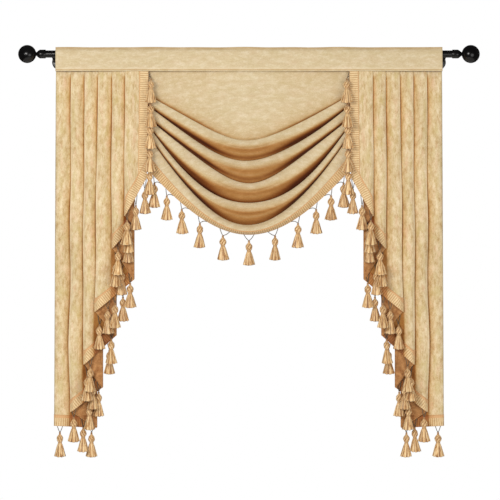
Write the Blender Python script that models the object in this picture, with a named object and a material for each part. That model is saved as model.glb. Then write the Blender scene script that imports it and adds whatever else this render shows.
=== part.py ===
import math

import bmesh
import bpy
import numpy as np
from mathutils import Matrix, Vector

# A waterfall valance on its curtain rod, in metres. The wall is the plane y = 0, the rod's axis is at
# z = 0, the front faces -y, and the valance is symmetric about x = 0. "Out" is the distance from that
# middle plane and "depth" is the distance from the wall.

GAP = 0.0003
CLOTH = 0.0014

# Rod, its turned ends and its brackets.
ROD_RADIUS = 0.014
ROD_HALF = 0.800
ROD_DEPTH = 0.085
ROUND_SIDES = 14
FINIAL_START = 0.787
FINIAL_PROFILE = {
    "along": (0.000, 0.002, 0.024, 0.030, 0.036, 0.037),
    "radius": (0.016, 0.017, 0.017, 0.012, 0.0065, 0.0065),
}
BALL_OUT = 0.859
BALL_RADIUS = 0.035
BALL_RINGS = 7
CUP_OUT = 0.757
CUP_WIDTH = 0.010
CUP_WALL = 0.003
CUP_REACH = 100
CUP_STEPS = 10
ARM_TOP = -0.016
ARM_BOTTOM = -0.030
ARM_SHARE = 0.8
ARM_SINK = 0.002
ARM_NOSE = (
    # depth past the rod's axis and z of the arm's front end, which is inside the cup's wall
    (0.000, -0.016),
    (0.004, -0.018),
    (-0.006, -0.030),
)
PLATE_OUT = 0.736
PLATE_Z = -0.029
PLATE_RADIUS = 0.030
PLATE_THICK = 0.006
PLATE_SIDES = 24

# Heading: a sleeve round the rod, closed at the seam that the swag and the tails hang from.
HEADING_HALF = 0.749
SEAM_Z = -0.067
HANG_Z = SEAM_Z - GAP
HEADING_OUTER = (
    # depth and z, going round from the seam's front corner; each point has its own one inside
    (0.1040, SEAM_Z),
    (0.1045, -0.045),
    (0.1030, -0.018),
    (0.1015, 0.002),
    (0.0978, 0.0138),
    (0.0885, 0.0180),
    (0.0875, 0.0240),
    (0.0845, 0.0240),
    (0.0830, 0.0180),
    (0.0722, 0.0138),
    (0.0690, 0.002),
    (0.0695, -0.018),
    (0.0745, -0.050),
    (0.0780, SEAM_Z),
)
HEADING_INNER = (
    (0.1020, SEAM_Z + 0.0030),
    (0.1028, -0.045),
    (0.1014, -0.018),
    (0.0998, 0.001),
    (0.0963, 0.0114),
    (0.0885, 0.0147),
    (0.0870, 0.0150),
    (0.0850, 0.0150),
    (0.0830, 0.0147),
    (0.0737, 0.0114),
    (0.0706, 0.001),
    (0.0711, -0.018),
    (0.0762, -0.050),
    (0.0800, SEAM_Z + 0.0030),
)

# Tails: knife pleats from the outer edge to the inner one. Each row is a fold line of one tail.
TAIL_FOLDS = (
    # kind, out at the seam, out at the hem, the hem's z
    ("edge", 0.7477, 0.7547, -1.440),
    ("hidden", 0.588, 0.588, -1.448),
    ("front", 0.689, 0.695, -1.386),
    ("hidden", 0.565, 0.565, -1.293),
    ("front", 0.636, 0.642, -1.202),
    ("hidden", 0.512, 0.512, -1.092),
    ("front", 0.584, 0.595, -0.998),
    ("hidden", 0.443, 0.443, -0.875),
    ("front", 0.529, 0.531, -0.7535),
    ("hidden", 0.445, 0.445, -0.6625),
    ("front", 0.479, 0.482, -0.628),
    ("edge", 0.3885, 0.3947, -0.4795),
)
TAIL_BACK_DEPTH = 0.080
LAYER_STEP_TOP = 0.0022
LAYER_STEP_GROWTH = 0.005
BULGE = 0.010
BULGE_START = 0.08
BULGE_STATIONS = (0.15, 0.40, 0.72, 1.0)
FOLD_ANGLES = (-90, 0, 90)
TAIL_ROWS = (0.0, 0.08, 0.35)

# Swag: rails that run from side to side. mid and side give the height on the middle line and at
# SWAG_HALF, the depths follow, and bend is small for a rail with straight arms and a tight middle.
SWAG_HALF = 0.383
SWAG_REACH = 1.07
SWAG_COLUMNS = 14
SWAG_LIPS = (
    # mid z, side z, bend
    (-0.333, -0.165, 0.33),
    (-0.415, -0.208, 0.50),
    (-0.498, -0.257, 0.35),
    (-0.584, -0.288, 1.50),
    (-0.661, -0.328, 0.95),
)
SWAG_FOLD = (
    # share of the way down to the next lip at the middle and at the side, then both depths
    (0.00, 0.00, 0.104, 0.0950),
    (0.22, 0.40, 0.119, 0.0985),
    (0.48, 0.78, 0.127, 0.0975),
    (0.74, 0.95, 0.113, 0.0920),
    (1.13, 1.12, 0.090, 0.0850),
    (1.08, 1.08, 0.0955, 0.0890),
)
SWAG_TOP = (
    # mid z, side z, mid depth, side depth
    (HANG_Z, HANG_Z, 0.091, 0.091),
    (-0.200, -0.110, 0.089, 0.088),
    (-0.344, -0.172, 0.086, 0.085),
    (-0.340, -0.170, 0.0925, 0.089),
)
SWAG_HEM = (
    # mid z, side z, mid depth, side depth
    (-0.661, -0.328, 0.104, 0.0950),
    (-0.673, -0.376, 0.120, 0.1030),
    (-0.685, -0.424, 0.125, 0.1040),
    (-0.693, -0.442, 0.111, 0.1030),
    (-0.6975, -0.455, 0.0960, 0.1020),
    (-0.6985, -0.458, 0.0935, 0.1018),
)
HEM_BEND = 1.0

# Tasselled trim: a woven band sewn on the face of the cloth along its cut edge.
BAND = 0.0010
BAND_MIDDLE = CLOTH / 2 + GAP + BAND / 2
BAND_WIDTH = 0.035
BAND_OVERHANG = 0.003
SWAG_TASSEL_OUT = (0.0, 0.101, 0.190, 0.260, 0.318, 0.366)
LOOP_DROP = 0.022
LEAN_SHARE = 0.45
CORD_SHARE = 0.40
CORD_SINK = 0.25
SWAG_LOOP_SPREAD = 0.020
TAIL_LOOP_SPREAD = 0.010
TAIL_TASSELS = (
    # shares of each run of the trim at which a tassel hangs: the inner edge from the top down, then
    # the hem of each face of the pleats, from the inner edge to the outer one
    (0.03, 0.26, 0.46, 0.68, 0.89),
    (0.08, 0.48, 0.86),
    (0.50,),
    (0.20, 0.68),
    (0.20, 0.45, 0.83),
    (0.27, 0.46, 0.64),
    (0.24, 0.78),
    (0.20, 0.76),
    (0.20, 0.52, 0.80),
    (0.38, 0.84),
    (0.50, 0.80),
    (0.85,),
)
UPRIGHT_SHARE = 0.9
SIDE_SHIFT = 0.010
SIDE_DROP = 0.005
TASSEL_SIDES = 6
TASSEL_LOCKS = 3
TASSEL_RINGS = {
    "down": (0.000, 0.015, 0.027, 0.040),
    "radius": (0.003, 0.008, 0.0135, 0.0075),
}
SKIRT_DOWN = 0.091
SKIRT_HALF_WIDTH = 0.022
SKIRT_HALF_DEPTH = 0.013
LOCK_SHARE = 0.86
TASSEL_CLEAR = 0.0022
TASSEL_STATIONS = 20
KNOT_BACK = 0.018
# How far forwards of its ball a tassel's foot may lie on the tassel below, the least that clears first.
TASSEL_LEANS = (0.0, 0.006, 0.012, 0.018, 0.024, 0.030, 0.036)
DEPTH_STEP = 0.001
CLOUD_ROWS = 220
CLOUD_REACH = 0.004
CLOUD_SHARES = (0.0, 0.125, 0.25, 0.375, 0.5, 0.625, 0.75, 0.875)

COLOURS = {
    "cloth": (0.68, 0.51, 0.27, 1.0),
    "trim": (0.60, 0.40, 0.16, 1.0),
    "metal": (0.012, 0.011, 0.012, 1.0),
}


def material(name, colour, roughness, metallic=0.0):
    made = bpy.data.materials.new(name)
    made.use_nodes = True
    shader = made.node_tree.nodes["Principled BSDF"]
    shader.inputs["Base Color"].default_value = COLOURS[colour]
    shader.inputs["Roughness"].default_value = roughness
    shader.inputs["Metallic"].default_value = metallic
    return made


def face_outward(shape):
    """Turns a closed shape's faces to point out."""
    bmesh.ops.recalc_face_normals(shape, faces=shape.faces)
    if shape.calc_volume(signed=True) < 0:
        bmesh.ops.reverse_faces(shape, faces=shape.faces)


def mesh_object(name, points, faces, side=1):
    """An object of these points, given as out, depth and z, on the right (side 1) or left (-1)."""
    out, depth, z = np.asarray(points, float).T
    placed = np.stack([side * out, -depth, z], axis=1)
    mesh = bpy.data.meshes.new(name)
    mesh.from_pydata(placed.tolist(), [], [tuple(face) for face in faces])
    made = bpy.data.objects.new(name, mesh)
    bpy.context.scene.collection.objects.link(made)
    shape = bmesh.new()
    shape.from_mesh(mesh)
    face_outward(shape)
    shape.to_mesh(mesh)
    shape.free()
    return made


def sweep_rings(rings, closed_ends=True):
    """Points and faces of a tube through equal rings, an array of ring, corner and coordinate."""
    count, corners = rings.shape[:2]
    index = np.arange(count * corners).reshape(count, corners)
    faces = []
    for low, high in zip(index[:-1], index[1:]):
        for i in range(corners):
            j = (i + 1) % corners
            faces.append((low[i], low[j], high[j], high[i]))
    if closed_ends:
        faces.append(tuple(index[0][::-1]))
        faces.append(tuple(index[-1]))
    return rings.reshape(-1, 3), faces


def grid_normals(grid):
    """Unit normals of a grid of points, from the mean directions of its rows and columns."""

    def along(axis):
        steps = np.diff(grid, axis=axis)
        steps = steps / np.linalg.norm(steps, axis=-1, keepdims=True)
        first = np.take(steps, [0], axis=axis)
        last = np.take(steps, [-1], axis=axis)
        return np.concatenate([first, steps], axis) + np.concatenate([steps, last], axis)

    normals = np.cross(along(1), along(0))
    return normals / np.linalg.norm(normals, axis=-1, keepdims=True)


def sheet(grid, normals, cells, low, high):
    """Points and faces of a closed sheet over the chosen cells, between two offsets along the normals."""
    rows, columns = grid.shape[:2]
    points = np.concatenate([(grid + normals * low).reshape(-1, 3), (grid + normals * high).reshape(-1, 3)])
    top = rows * columns
    faces = []
    for r, c in zip(*np.nonzero(cells)):
        a = r * columns + c
        b, d = a + 1, a + columns
        e = d + 1
        faces += [(a, b, e), (a, e, d), (a + top, e + top, b + top), (a + top, d + top, e + top)]
        for (i, j), (p, q) in (
            ((r - 1, c), (a, b)),
            ((r + 1, c), (e, d)),
            ((r, c - 1), (d, a)),
            ((r, c + 1), (b, e)),
        ):
            inside = 0 <= i < rows - 1 and 0 <= j < columns - 1 and cells[i, j]
            if not inside:
                faces.append((p, p + top, q + top, q))
    used = np.unique(np.concatenate([np.array(face) for face in faces]))
    renumber = {old: new for new, old in enumerate(used)}
    return points[used], [tuple(renumber[i] for i in face) for face in faces]


def layer_depth(level, z):
    """Depth of a tail's layer: the layers are tight at the seam and spread apart on the way down."""
    return TAIL_BACK_DEPTH + level * layer_step(z)


def layer_step(z):
    return LAYER_STEP_TOP + LAYER_STEP_GROWTH * (HANG_Z - z)


def fold_out(fold, z):
    _, out_top, out_foot, foot = TAIL_FOLDS[fold]
    return out_top + (out_foot - out_top) * (HANG_Z - z) / (HANG_Z - foot)


def tail_columns():
    """The columns of a tail's grid, inner edge first: each a fold pair, a share, a level and an angle."""
    columns = [dict(fold=0, toward=2, share=0.0, level=0, angle=None)]
    folds = len(TAIL_FOLDS)
    for front in range(0, folds, 2):
        level = front
        last = front == folds - 2
        for share in BULGE_STATIONS:
            toward = "ridge" if last else front + 2
            columns.append(dict(fold=front, toward=toward, share=share, level=level, angle=None))
        if last:
            columns.append(dict(fold=folds - 1, toward="cloth edge", share=0.0, level=level, angle=None))
            columns.append(dict(fold=folds - 1, toward="band edge", share=0.0, level=level, angle=None))
            break
        for fold in (front + 1, front + 2):
            for angle in FOLD_ANGLES:
                columns.append(dict(fold=fold, toward=None, share=0.0, level=fold - 0.5, angle=angle))
    return columns[::-1]


def column_out(column, z):
    """A column's distance from the middle plane at these heights."""
    out = fold_out(column["fold"], z)
    if column["angle"] is not None:
        radius = layer_step(z) / 2
        inward = 1 if TAIL_FOLDS[column["fold"]][0] == "hidden" else -1
        return out + inward * radius * (1 - math.cos(math.radians(column["angle"])))
    if column["toward"] == "ridge":
        inner = fold_out(len(TAIL_FOLDS) - 1, z) + BAND_WIDTH
        return out + (inner - out) * column["share"]
    if column["toward"] == "cloth edge":
        return out + BAND_OVERHANG
    if column["toward"] == "band edge":
        return out
    return out + (fold_out(column["toward"], z) - out) * column["share"]


def column_depth(column, z):
    if column["angle"] is not None:
        return layer_depth(column["level"], z) + layer_step(z) / 2 * math.sin(math.radians(column["angle"]))
    swell = BULGE * (1 - np.exp(-(HANG_Z - z) / BULGE_START))
    return layer_depth(column["level"], z) + swell * math.sin(math.pi * column["share"] ** 0.8)


def column_foot(column):
    """Hem height and the band's upright width at a column, read along its face of the pleat."""
    fold = column["fold"]
    foot = TAIL_FOLDS[fold][3]
    near = [f for f in (fold - 1, fold) if 0 <= f < len(TAIL_FOLDS) - 1]
    slopes = []
    for f in near:
        run = abs(TAIL_FOLDS[f][2] - TAIL_FOLDS[f + 1][2])
        slopes.append((TAIL_FOLDS[f + 1][3] - TAIL_FOLDS[f][3]) / run)
    widths = [BAND_WIDTH * math.hypot(1, slope) for slope in slopes]
    if column["angle"] is not None or fold in (0, len(TAIL_FOLDS) - 1) and column["share"] == 0:
        return foot, sum(widths) / len(widths)
    moved = TAIL_FOLDS[fold][2] - column_out(column, foot)
    return foot + moved * slopes[-1], widths[-1]


def tail_grid(rows=TAIL_ROWS):
    """Points of a tail's middle surface: rows from the seam to the hem, columns from the inner edge."""
    lines = []
    for column in tail_columns():
        foot, band = column_foot(column)
        drop = HANG_Z - foot
        shares = [share * (drop - band) / drop for share in rows]
        shares += [(drop - band) / drop, (drop - BAND_OVERHANG) / drop, 1.0]
        z = HANG_Z - np.array(shares) * drop
        lines.append(np.stack([column_out(column, z), column_depth(column, z), z], axis=1))
    return np.stack(lines, axis=1)


def rail_rise(u, bend):
    """0 on the middle line and 1 at the side: a hyperbola, tight in the middle for a small bend."""
    return (np.sqrt(u * u + bend * bend) - bend) / (math.sqrt(1 + bend * bend) - bend)


def swag_rails(u):
    """The swag's rails from the seam to the hem, each an array of out, depth and z at these shares."""
    rails = []

    def add(mid_z, side_z, mid_depth, side_depth, bend):
        z = mid_z + (side_z - mid_z) * rail_rise(u, bend)
        depth = mid_depth + (side_depth - mid_depth) * np.minimum(u * u, 1.0)
        rails.append(np.stack([u * SWAG_HALF, depth, z], axis=1))

    for row in SWAG_TOP:
        add(*row, SWAG_LIPS[0][2])
    for upper, lower in zip(SWAG_LIPS[:-1], SWAG_LIPS[1:]):
        for mid_share, side_share, mid_depth, side_depth in SWAG_FOLD:
            lean = min(mid_share, 1.0)
            upper_rise = rail_rise(u, upper[2])
            lower_rise = rail_rise(u, lower[2])
            upper_z = upper[0] + (upper[1] - upper[0]) * upper_rise
            lower_z = lower[0] + (lower[1] - lower[0]) * lower_rise
            side = np.minimum(u * u, 1.0)
            share = mid_share + (side_share - mid_share) * side
            z = upper_z + (lower_z - upper_z) * share
            depth = mid_depth + (side_depth - mid_depth) * side
            rails.append(np.stack([u * SWAG_HALF, depth, z], axis=1))
    for row in SWAG_HEM:
        share = (row[0] - SWAG_HEM[0][0]) / (SWAG_HEM[-1][0] - SWAG_HEM[0][0])
        add(*row, SWAG_LIPS[-1][2] + (HEM_BEND - SWAG_LIPS[-1][2]) * share)
    return np.stack(rails)


def swag_grid(columns=SWAG_COLUMNS):
    return swag_rails(np.linspace(-SWAG_REACH, SWAG_REACH, columns + 1))


def pull_out(shape, face, share, place):
    """Extrudes one face on its own, shrinks its end to a share and moves that end with place."""
    tip = bmesh.ops.extrude_discrete_faces(shape, faces=[face])["faces"][0]
    centre = tip.calc_center_median()
    for vert in tip.verts:
        vert.co = place(centre + (vert.co - centre) * share, centre)


def tassel_points(tassel):
    """A turned head, locks that stand apart below its neck, and a cord up to each of two ends."""
    shape = bmesh.new()
    knot = Vector((tassel["out"], tassel["depth"], tassel["z"]))
    turn = [2 * math.pi * i / TASSEL_SIDES for i in range(TASSEL_SIDES)]
    rings = []
    for down, radius in zip(TASSEL_RINGS["down"], TASSEL_RINGS["radius"]):
        shift = axis_depth(tassel, down) - tassel["depth"]
        rings.append(
            [shape.verts.new((radius * math.sin(a), radius * math.cos(a) + shift, -down)) for a in turn]
        )
    for upper, lower in zip(rings[:-1], rings[1:]):
        for i in range(TASSEL_SIDES):
            j = (i + 1) % TASSEL_SIDES
            shape.faces.new((upper[i], lower[i], lower[j], upper[j]))
    top, neck = rings[0], rings[-1]
    half = TASSEL_SIDES // 2
    cords = [shape.faces.new(top[: half + 1]), shape.faces.new(top[half:] + top[:1])]
    neck_down = TASSEL_RINGS["down"][-1]
    neck_shift = axis_depth(tassel, neck_down) - tassel["depth"]
    middle = shape.verts.new((0, neck_shift, -neck_down))
    span = TASSEL_SIDES // TASSEL_LOCKS
    locks = []
    for lock in range(TASSEL_LOCKS):
        rim = [neck[(lock * span + i) % TASSEL_SIDES] for i in range(span + 1)]
        locks.append(shape.faces.new([middle] + rim))
    bmesh.ops.recalc_face_normals(shape, faces=shape.faces)
    wide = SKIRT_HALF_WIDTH / TASSEL_RINGS["radius"][-1]
    deep = SKIRT_HALF_DEPTH / TASSEL_RINGS["radius"][-1]
    foot = tassel["lean"] - neck_shift * deep
    for face in locks:
        pull_out(
            shape, face, LOCK_SHARE, lambda co, centre: Vector((co.x * wide, co.y * deep + foot, -SKIRT_DOWN))
        )
    ends = sorted((Vector(end) - knot for end in tassel["ends"]), key=lambda end: -end.x)
    for face, end in zip(cords, ends):
        pull_out(shape, face, CORD_SHARE, lambda co, centre: co - centre + end)
    shape.verts.index_update()
    points = np.array([vert.co[:] for vert in shape.verts])
    faces = [tuple(vert.index for vert in face.verts) for face in shape.faces]
    shape.free()
    return points + np.array(knot), faces


def lengths_along(edge):
    """The length of a polyline from its start to each of its points."""
    return np.concatenate([[0.0], np.cumsum(np.linalg.norm(np.diff(edge, axis=0), axis=1))])


def along_edge(edge, distances):
    """Points of a polyline at these distances along it."""
    reached = lengths_along(edge)
    return np.stack([np.interp(distances, reached, edge[:, i]) for i in range(3)], axis=-1)


def axis_depth(tassel, down):
    """Depth of a tassel's middle this far below its knot: back at the knot, leaning forwards to its foot."""
    stem = TASSEL_RINGS["down"][1]
    back = (tassel["knot_depth"] - tassel["depth"]) * (1 - min(down / stem, 1.0))
    return tassel["depth"] + back + tassel["lean"] * max(down - stem, 0.0) / (SKIRT_DOWN - stem)


def tassel_section(tassel, z):
    """Half width, half depth and depth of a tassel at a height, or None above or below it."""
    down = round(tassel["z"] - z, 6)
    if not 0.0 <= down <= SKIRT_DOWN:
        return None
    depth = axis_depth(tassel, down)
    neck_down, neck = TASSEL_RINGS["down"][-1], TASSEL_RINGS["radius"][-1]
    if down <= neck_down:
        radius = float(np.interp(down, TASSEL_RINGS["down"], TASSEL_RINGS["radius"]))
        return radius, radius, depth
    share = (down - neck_down) / (SKIRT_DOWN - neck_down)
    half_width = neck + (SKIRT_HALF_WIDTH - neck) * share
    half_depth = neck + (SKIRT_HALF_DEPTH - neck) * share
    return half_width, half_depth, depth


def stations(tassel):
    return tassel["z"] - np.linspace(0.0, SKIRT_DOWN, TASSEL_STATIONS)


def set_depth(tassel, depth, lean=0.0):
    """Moves a tassel's body to a depth and its foot forwards; its knot stays near the edge it hangs from."""
    tassel["depth"] = depth
    tassel["lean"] = lean
    tassel["knot_depth"] = max(tassel["edge_depth"], depth - KNOT_BACK)


def clear_knot(tassel, cloth):
    """The least depth at which a tassel's knot is clear of the cloth behind it, or 0 without any cloth."""
    reach = TASSEL_RINGS["radius"][0] + TASSEL_CLEAR
    near = (np.abs(cloth[:, 0] - tassel["out"]) < reach) & (np.abs(cloth[:, 2] - tassel["z"]) < CLOUD_REACH)
    if not near.any():
        return 0.0
    return cloth[near, 1].max() + BAND_MIDDLE + BAND / 2 + reach


def clear_depth(tassel, cloth):
    """The least depth, from the edge forwards, at which a tassel hangs clear of the cloth behind it."""
    depth = tassel["edge_depth"]
    for z in stations(tassel)[1:]:
        half_width, half_depth, _ = tassel_section(tassel, z)
        reach = half_width + TASSEL_CLEAR
        aside = np.abs(cloth[:, 0] - tassel["out"])
        near = (aside < reach) & (np.abs(cloth[:, 2] - z) < CLOUD_REACH)
        if near.any():
            swell = half_depth * np.sqrt(1 - (aside[near] / reach) ** 2)
            front = cloth[near, 1] + BAND_MIDDLE + BAND / 2
            depth = max(depth, (front + swell).max() + TASSEL_CLEAR)
    return depth


def tassels_meet(first, second):
    """True where two tassels, or the cords of one and the body of the other, come closer than their gap."""
    for z in stations(first):
        other = tassel_section(second, z)
        if other is None:
            continue
        half_width, half_depth, depth = tassel_section(first, z)
        wide = abs(first["out"] - second["out"]) / (half_width + other[0] + TASSEL_CLEAR)
        deep = abs(depth - other[2]) / (half_depth + other[1] + TASSEL_CLEAR)
        if math.hypot(wide, deep) < 1:
            return True
    return cords_meet(first, second) or cords_meet(second, first)


def cords_meet(corded, other):
    knot = np.array([corded["out"], corded["knot_depth"], corded["z"]])
    shares = np.linspace(0.0, 1.0, TASSEL_STATIONS)[:, None]
    for end in corded["ends"]:
        for out, depth, z in end + (knot - end) * shares:
            section = tassel_section(other, z)
            if section is None:
                continue
            wide = abs(out - other["out"]) / (section[0] + TASSEL_CLEAR)
            deep = abs(depth - section[2]) / (section[1] + TASSEL_CLEAR)
            if math.hypot(wide, deep) < 1:
                return True
    return False


def hang_free(tassel, hung):
    """Leans a tassel out over those already hung or, where that isn't enough, moves it forwards too."""
    depth = tassel["depth"]
    while True:
        for lean in TASSEL_LEANS:
            set_depth(tassel, depth, lean)
            if not any(tassels_meet(tassel, other) for other in hung):
                return
        depth += DEPTH_STEP


def hang_tassels(edge, distances, spread, level, cloth):
    """Tassels at these distances along a trim's lower edge, each leaning or forwards until it hangs free.

    At level 0 a tassel hangs below the lower end of its loop. At level 1 it hangs below the trim above it,
    and its loop leans down the slope.
    """
    hung = []
    for distance in distances:
        before, at, after = along_edge(edge, np.array([distance - spread, distance, distance + spread]))
        upright = abs(after[2] - before[2]) > UPRIGHT_SHARE * 2 * spread
        lower = min(before[2], after[2])
        lean = (before[2] - after[2]) / 2 * LEAN_SHARE * level
        before, after = along_edge(edge, np.array([distance - spread, distance + spread]) + lean)
        tassel = {
            "out": at[0] - (SIDE_SHIFT if upright else 0.0),
            "z": lower + (at[2] - lower) * level - (SIDE_DROP if upright else LOOP_DROP),
            "ends": (before, after),
        }
        tassel["edge_depth"] = max(at[1], clear_knot(tassel, cloth))
        set_depth(tassel, tassel["edge_depth"])
        set_depth(tassel, clear_depth(tassel, cloth))
        hang_free(tassel, hung)
        hung.append(tassel)
    return hung


def fringe(name, band_points, band_faces, tassels, side=1):
    """A band with its loops and tassels joined to it by a Boolean union."""
    band = mesh_object(name, band_points, band_faces, side)
    band.data.materials.append(material(name, "trim", 0.75))
    helpers = bpy.data.collections.new(name + "_helpers")
    bpy.context.scene.collection.children.link(helpers)
    for number, tassel in enumerate(tassels):
        points, faces = tassel_points(tassel)
        helper = mesh_object(f"{name}_tassel_{number}", points, faces, side)
        bpy.context.scene.collection.objects.unlink(helper)
        helpers.objects.link(helper)
        helper.hide_render = True
        helper.display_type = "WIRE"
    join = band.modifiers.new("Join tassels", "BOOLEAN")
    join.operation = "UNION"
    join.solver = "EXACT"
    join.operand_type = "COLLECTION"
    join.collection = helpers
    return band


def build_rod():
    shape = bmesh.new()
    bmesh.ops.create_cone(
        shape, cap_ends=True, segments=ROUND_SIDES, radius1=ROD_RADIUS, radius2=ROD_RADIUS, depth=2 * ROD_HALF
    )
    bmesh.ops.transform(shape, matrix=Matrix.Rotation(math.pi / 2, 4, "Y"), verts=shape.verts)
    rod = object_from_bmesh("rod", shape)
    rod.location = (0, -ROD_DEPTH, 0)
    rod.data.materials.append(material("rod", "metal", 0.35, 0.6))


def object_from_bmesh(name, shape):
    mesh = bpy.data.meshes.new(name)
    face_outward(shape)
    shape.to_mesh(mesh)
    shape.free()
    made = bpy.data.objects.new(name, mesh)
    bpy.context.scene.collection.objects.link(made)
    return made


def build_finial(name, side):
    """A socket, a cone and a ball turned about the rod's axis, with a blind bore that the rod enters."""
    along = [ROD_HALF + GAP, FINIAL_START] + [FINIAL_START + a for a in FINIAL_PROFILE["along"]]
    radius = [ROD_RADIUS + GAP] * 2 + list(FINIAL_PROFILE["radius"])
    neck_angle = math.asin(FINIAL_PROFILE["radius"][-1] / BALL_RADIUS)
    for i in range(1, BALL_RINGS):
        angle = neck_angle + (math.pi - neck_angle) * i / BALL_RINGS
        along.append(BALL_OUT - BALL_RADIUS * math.cos(angle))
        radius.append(BALL_RADIUS * math.sin(angle))
    turn = [2 * math.pi * i / ROUND_SIDES for i in range(ROUND_SIDES)]
    rings = np.array(
        [[(a, ROD_DEPTH + r * math.cos(t), r * math.sin(t)) for t in turn] for a, r in zip(along, radius)]
    )
    points, faces = sweep_rings(rings, closed_ends=False)
    first = list(range(ROUND_SIDES))
    last = [len(points) - ROUND_SIDES + i for i in range(ROUND_SIDES)]
    points = np.concatenate([points, [(BALL_OUT + BALL_RADIUS, ROD_DEPTH, 0.0)]])
    tip = len(points) - 1
    faces.append(first)
    for i in range(ROUND_SIDES):
        faces.append((last[i], last[(i + 1) % ROUND_SIDES], tip))
    finial = mesh_object(name, points, faces, side)
    finial.data.materials.append(material(name, "metal", 0.35, 0.6))


def build_bracket(name, side):
    """A round wall plate, a flat arm and an open cup that the rod lies in, joined into one piece."""
    turn = [2 * math.pi * i / PLATE_SIDES for i in range(PLATE_SIDES)]
    plate = np.array(
        [
            [(PLATE_OUT + PLATE_RADIUS * math.cos(t), d, PLATE_Z + PLATE_RADIUS * math.sin(t)) for t in turn]
            for d in (0.0, PLATE_THICK)
        ]
    )
    points, faces = sweep_rings(plate)
    bracket = mesh_object(name, points, faces, side)
    inner = (ROD_RADIUS + GAP) / math.cos(math.radians(CUP_REACH / CUP_STEPS))
    outer = inner + CUP_WALL
    angles = [math.radians(-90 + CUP_REACH * (2 * i / CUP_STEPS - 1)) for i in range(CUP_STEPS + 1)]
    section = [(ROD_DEPTH + inner * math.cos(a), inner * math.sin(a)) for a in angles]
    section += [(ROD_DEPTH + outer * math.cos(a), outer * math.sin(a)) for a in angles[::-1]]
    cup = np.array([[(CUP_OUT + s * CUP_WIDTH / 2, d, z) for d, z in section] for s in (-1, 1)])
    arm_section = [(PLATE_THICK - ARM_SINK, ARM_BOTTOM), (PLATE_THICK - ARM_SINK, ARM_TOP)]
    arm_section += [(ROD_DEPTH + past, z) for past, z in ARM_NOSE]
    half = ARM_SHARE * CUP_WIDTH / 2
    arm = np.array([[(CUP_OUT + s * half, d, z) for d, z in arm_section] for s in (-1, 1)])
    for part_name, rings in (("cup", cup), ("arm", arm)):
        points, faces = sweep_rings(rings)
        helper = mesh_object(f"{name}_{part_name}", points, faces, side)
        helper.hide_render = True
        helper.display_type = "WIRE"
        join = bracket.modifiers.new(f"Join {part_name}", "BOOLEAN")
        join.operation = "UNION"
        join.solver = "EXACT"
        join.object = helper
    bracket.data.materials.append(material(name, "metal", 0.4, 0.6))


def build_heading():
    """The sleeve's section, a ring with the rod's passage in it, carried from end to end."""
    count = len(HEADING_OUTER)
    points = []
    for out in (-HEADING_HALF, HEADING_HALF):
        for section in (HEADING_OUTER, HEADING_INNER):
            points += [(out, depth, z) for depth, z in section]
    faces = []
    for i in range(count):
        j = (i + 1) % count
        for first, second in ((0, 2), (2, 3), (3, 1), (1, 0)):
            a, b = first * count, second * count
            faces.append((a + i, a + j, b + j, b + i))
    heading = mesh_object("heading", points, faces)
    heading.data.materials.append(material("heading", "cloth", 0.9))


def cloth_sheet(name, grid, cells, side=1):
    points, faces = sheet(grid, grid_normals(grid), cells, -CLOTH / 2, CLOTH / 2)
    made = mesh_object(name, points, faces, side)
    made.data.materials.append(material(name, "cloth", 0.9))


def band_sheet(grid, cells):
    return sheet(grid, grid_normals(grid), cells, BAND_MIDDLE - BAND / 2, BAND_MIDDLE + BAND / 2)


def build_swag():
    grid = swag_grid()
    rows, columns = grid.shape[:2]
    cells = np.ones((rows - 1, columns - 1), bool)
    cells[-1] = False
    cloth_sheet("swag", grid, cells)
    band_cells = np.zeros_like(cells)
    band_cells[-3:] = True
    points, faces = band_sheet(grid, band_cells)
    rims = grid + grid_normals(grid) * BAND_MIDDLE
    edge = rims[-1] + (rims[-2] - rims[-1]) * CORD_SINK
    reached = lengths_along(edge)
    outs = np.array(SWAG_TASSEL_OUT)
    distances = np.interp(np.concatenate([-outs[:0:-1], outs]), edge[:, 0], reached)
    tassels = hang_tassels(edge, distances, SWAG_LOOP_SPREAD, 1.0, cloth_cloud())
    fringe("swag_fringe", points, faces, tassels)


def cloth_cloud():
    """Close-set points of all the cloth on one side, for hanging the tassels clear of it."""
    tail = tail_grid(tuple(np.linspace(0.0, 1.0, CLOUD_ROWS)[:-1]))
    between = [tail[:, :-1] + (tail[:, 1:] - tail[:, :-1]) * share for share in CLOUD_SHARES]
    swag = swag_grid(CLOUD_ROWS)
    return np.concatenate([points.reshape(-1, 3) for points in between + [swag]])


def build_tail(name, side):
    grid = tail_grid()
    rows, columns = grid.shape[:2]
    cells = np.ones((rows - 1, columns - 1), bool)
    cells[-1] = False
    cells[:, 0] = False
    cloth_sheet(name, grid, cells, side)


def build_tail_fringe(name, side):
    grid = tail_grid()
    rows, columns = grid.shape[:2]
    cells = np.zeros((rows - 1, columns - 1), bool)
    cells[-2:] = True
    cells[:, :2] = True
    points, faces = band_sheet(grid, cells)
    edges = grid + grid_normals(grid) * BAND_MIDDLE
    hem = edges[-1] + (edges[-2] - edges[-1]) * CORD_SINK
    inner = edges[:, 0] + (edges[:, 1] - edges[:, 0]) * CORD_SINK
    edge = np.concatenate([inner[:-1], hem[1:]])
    reached = lengths_along(edge)
    corner = len(inner) - 2
    turns = [corner + number for number, column in enumerate(tail_columns()) if column["angle"] == 0]
    ends = reached[[0, corner] + turns + [-1]]
    runs = zip(ends[:-1], ends[1:], TAIL_TASSELS)
    distances = np.concatenate([start + (end - start) * np.array(shares) for start, end, shares in runs])
    tassels = hang_tassels(edge, distances[::-1], TAIL_LOOP_SPREAD, 0.0, cloth_cloud())
    fringe(name, points, faces, tassels, side)


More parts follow.
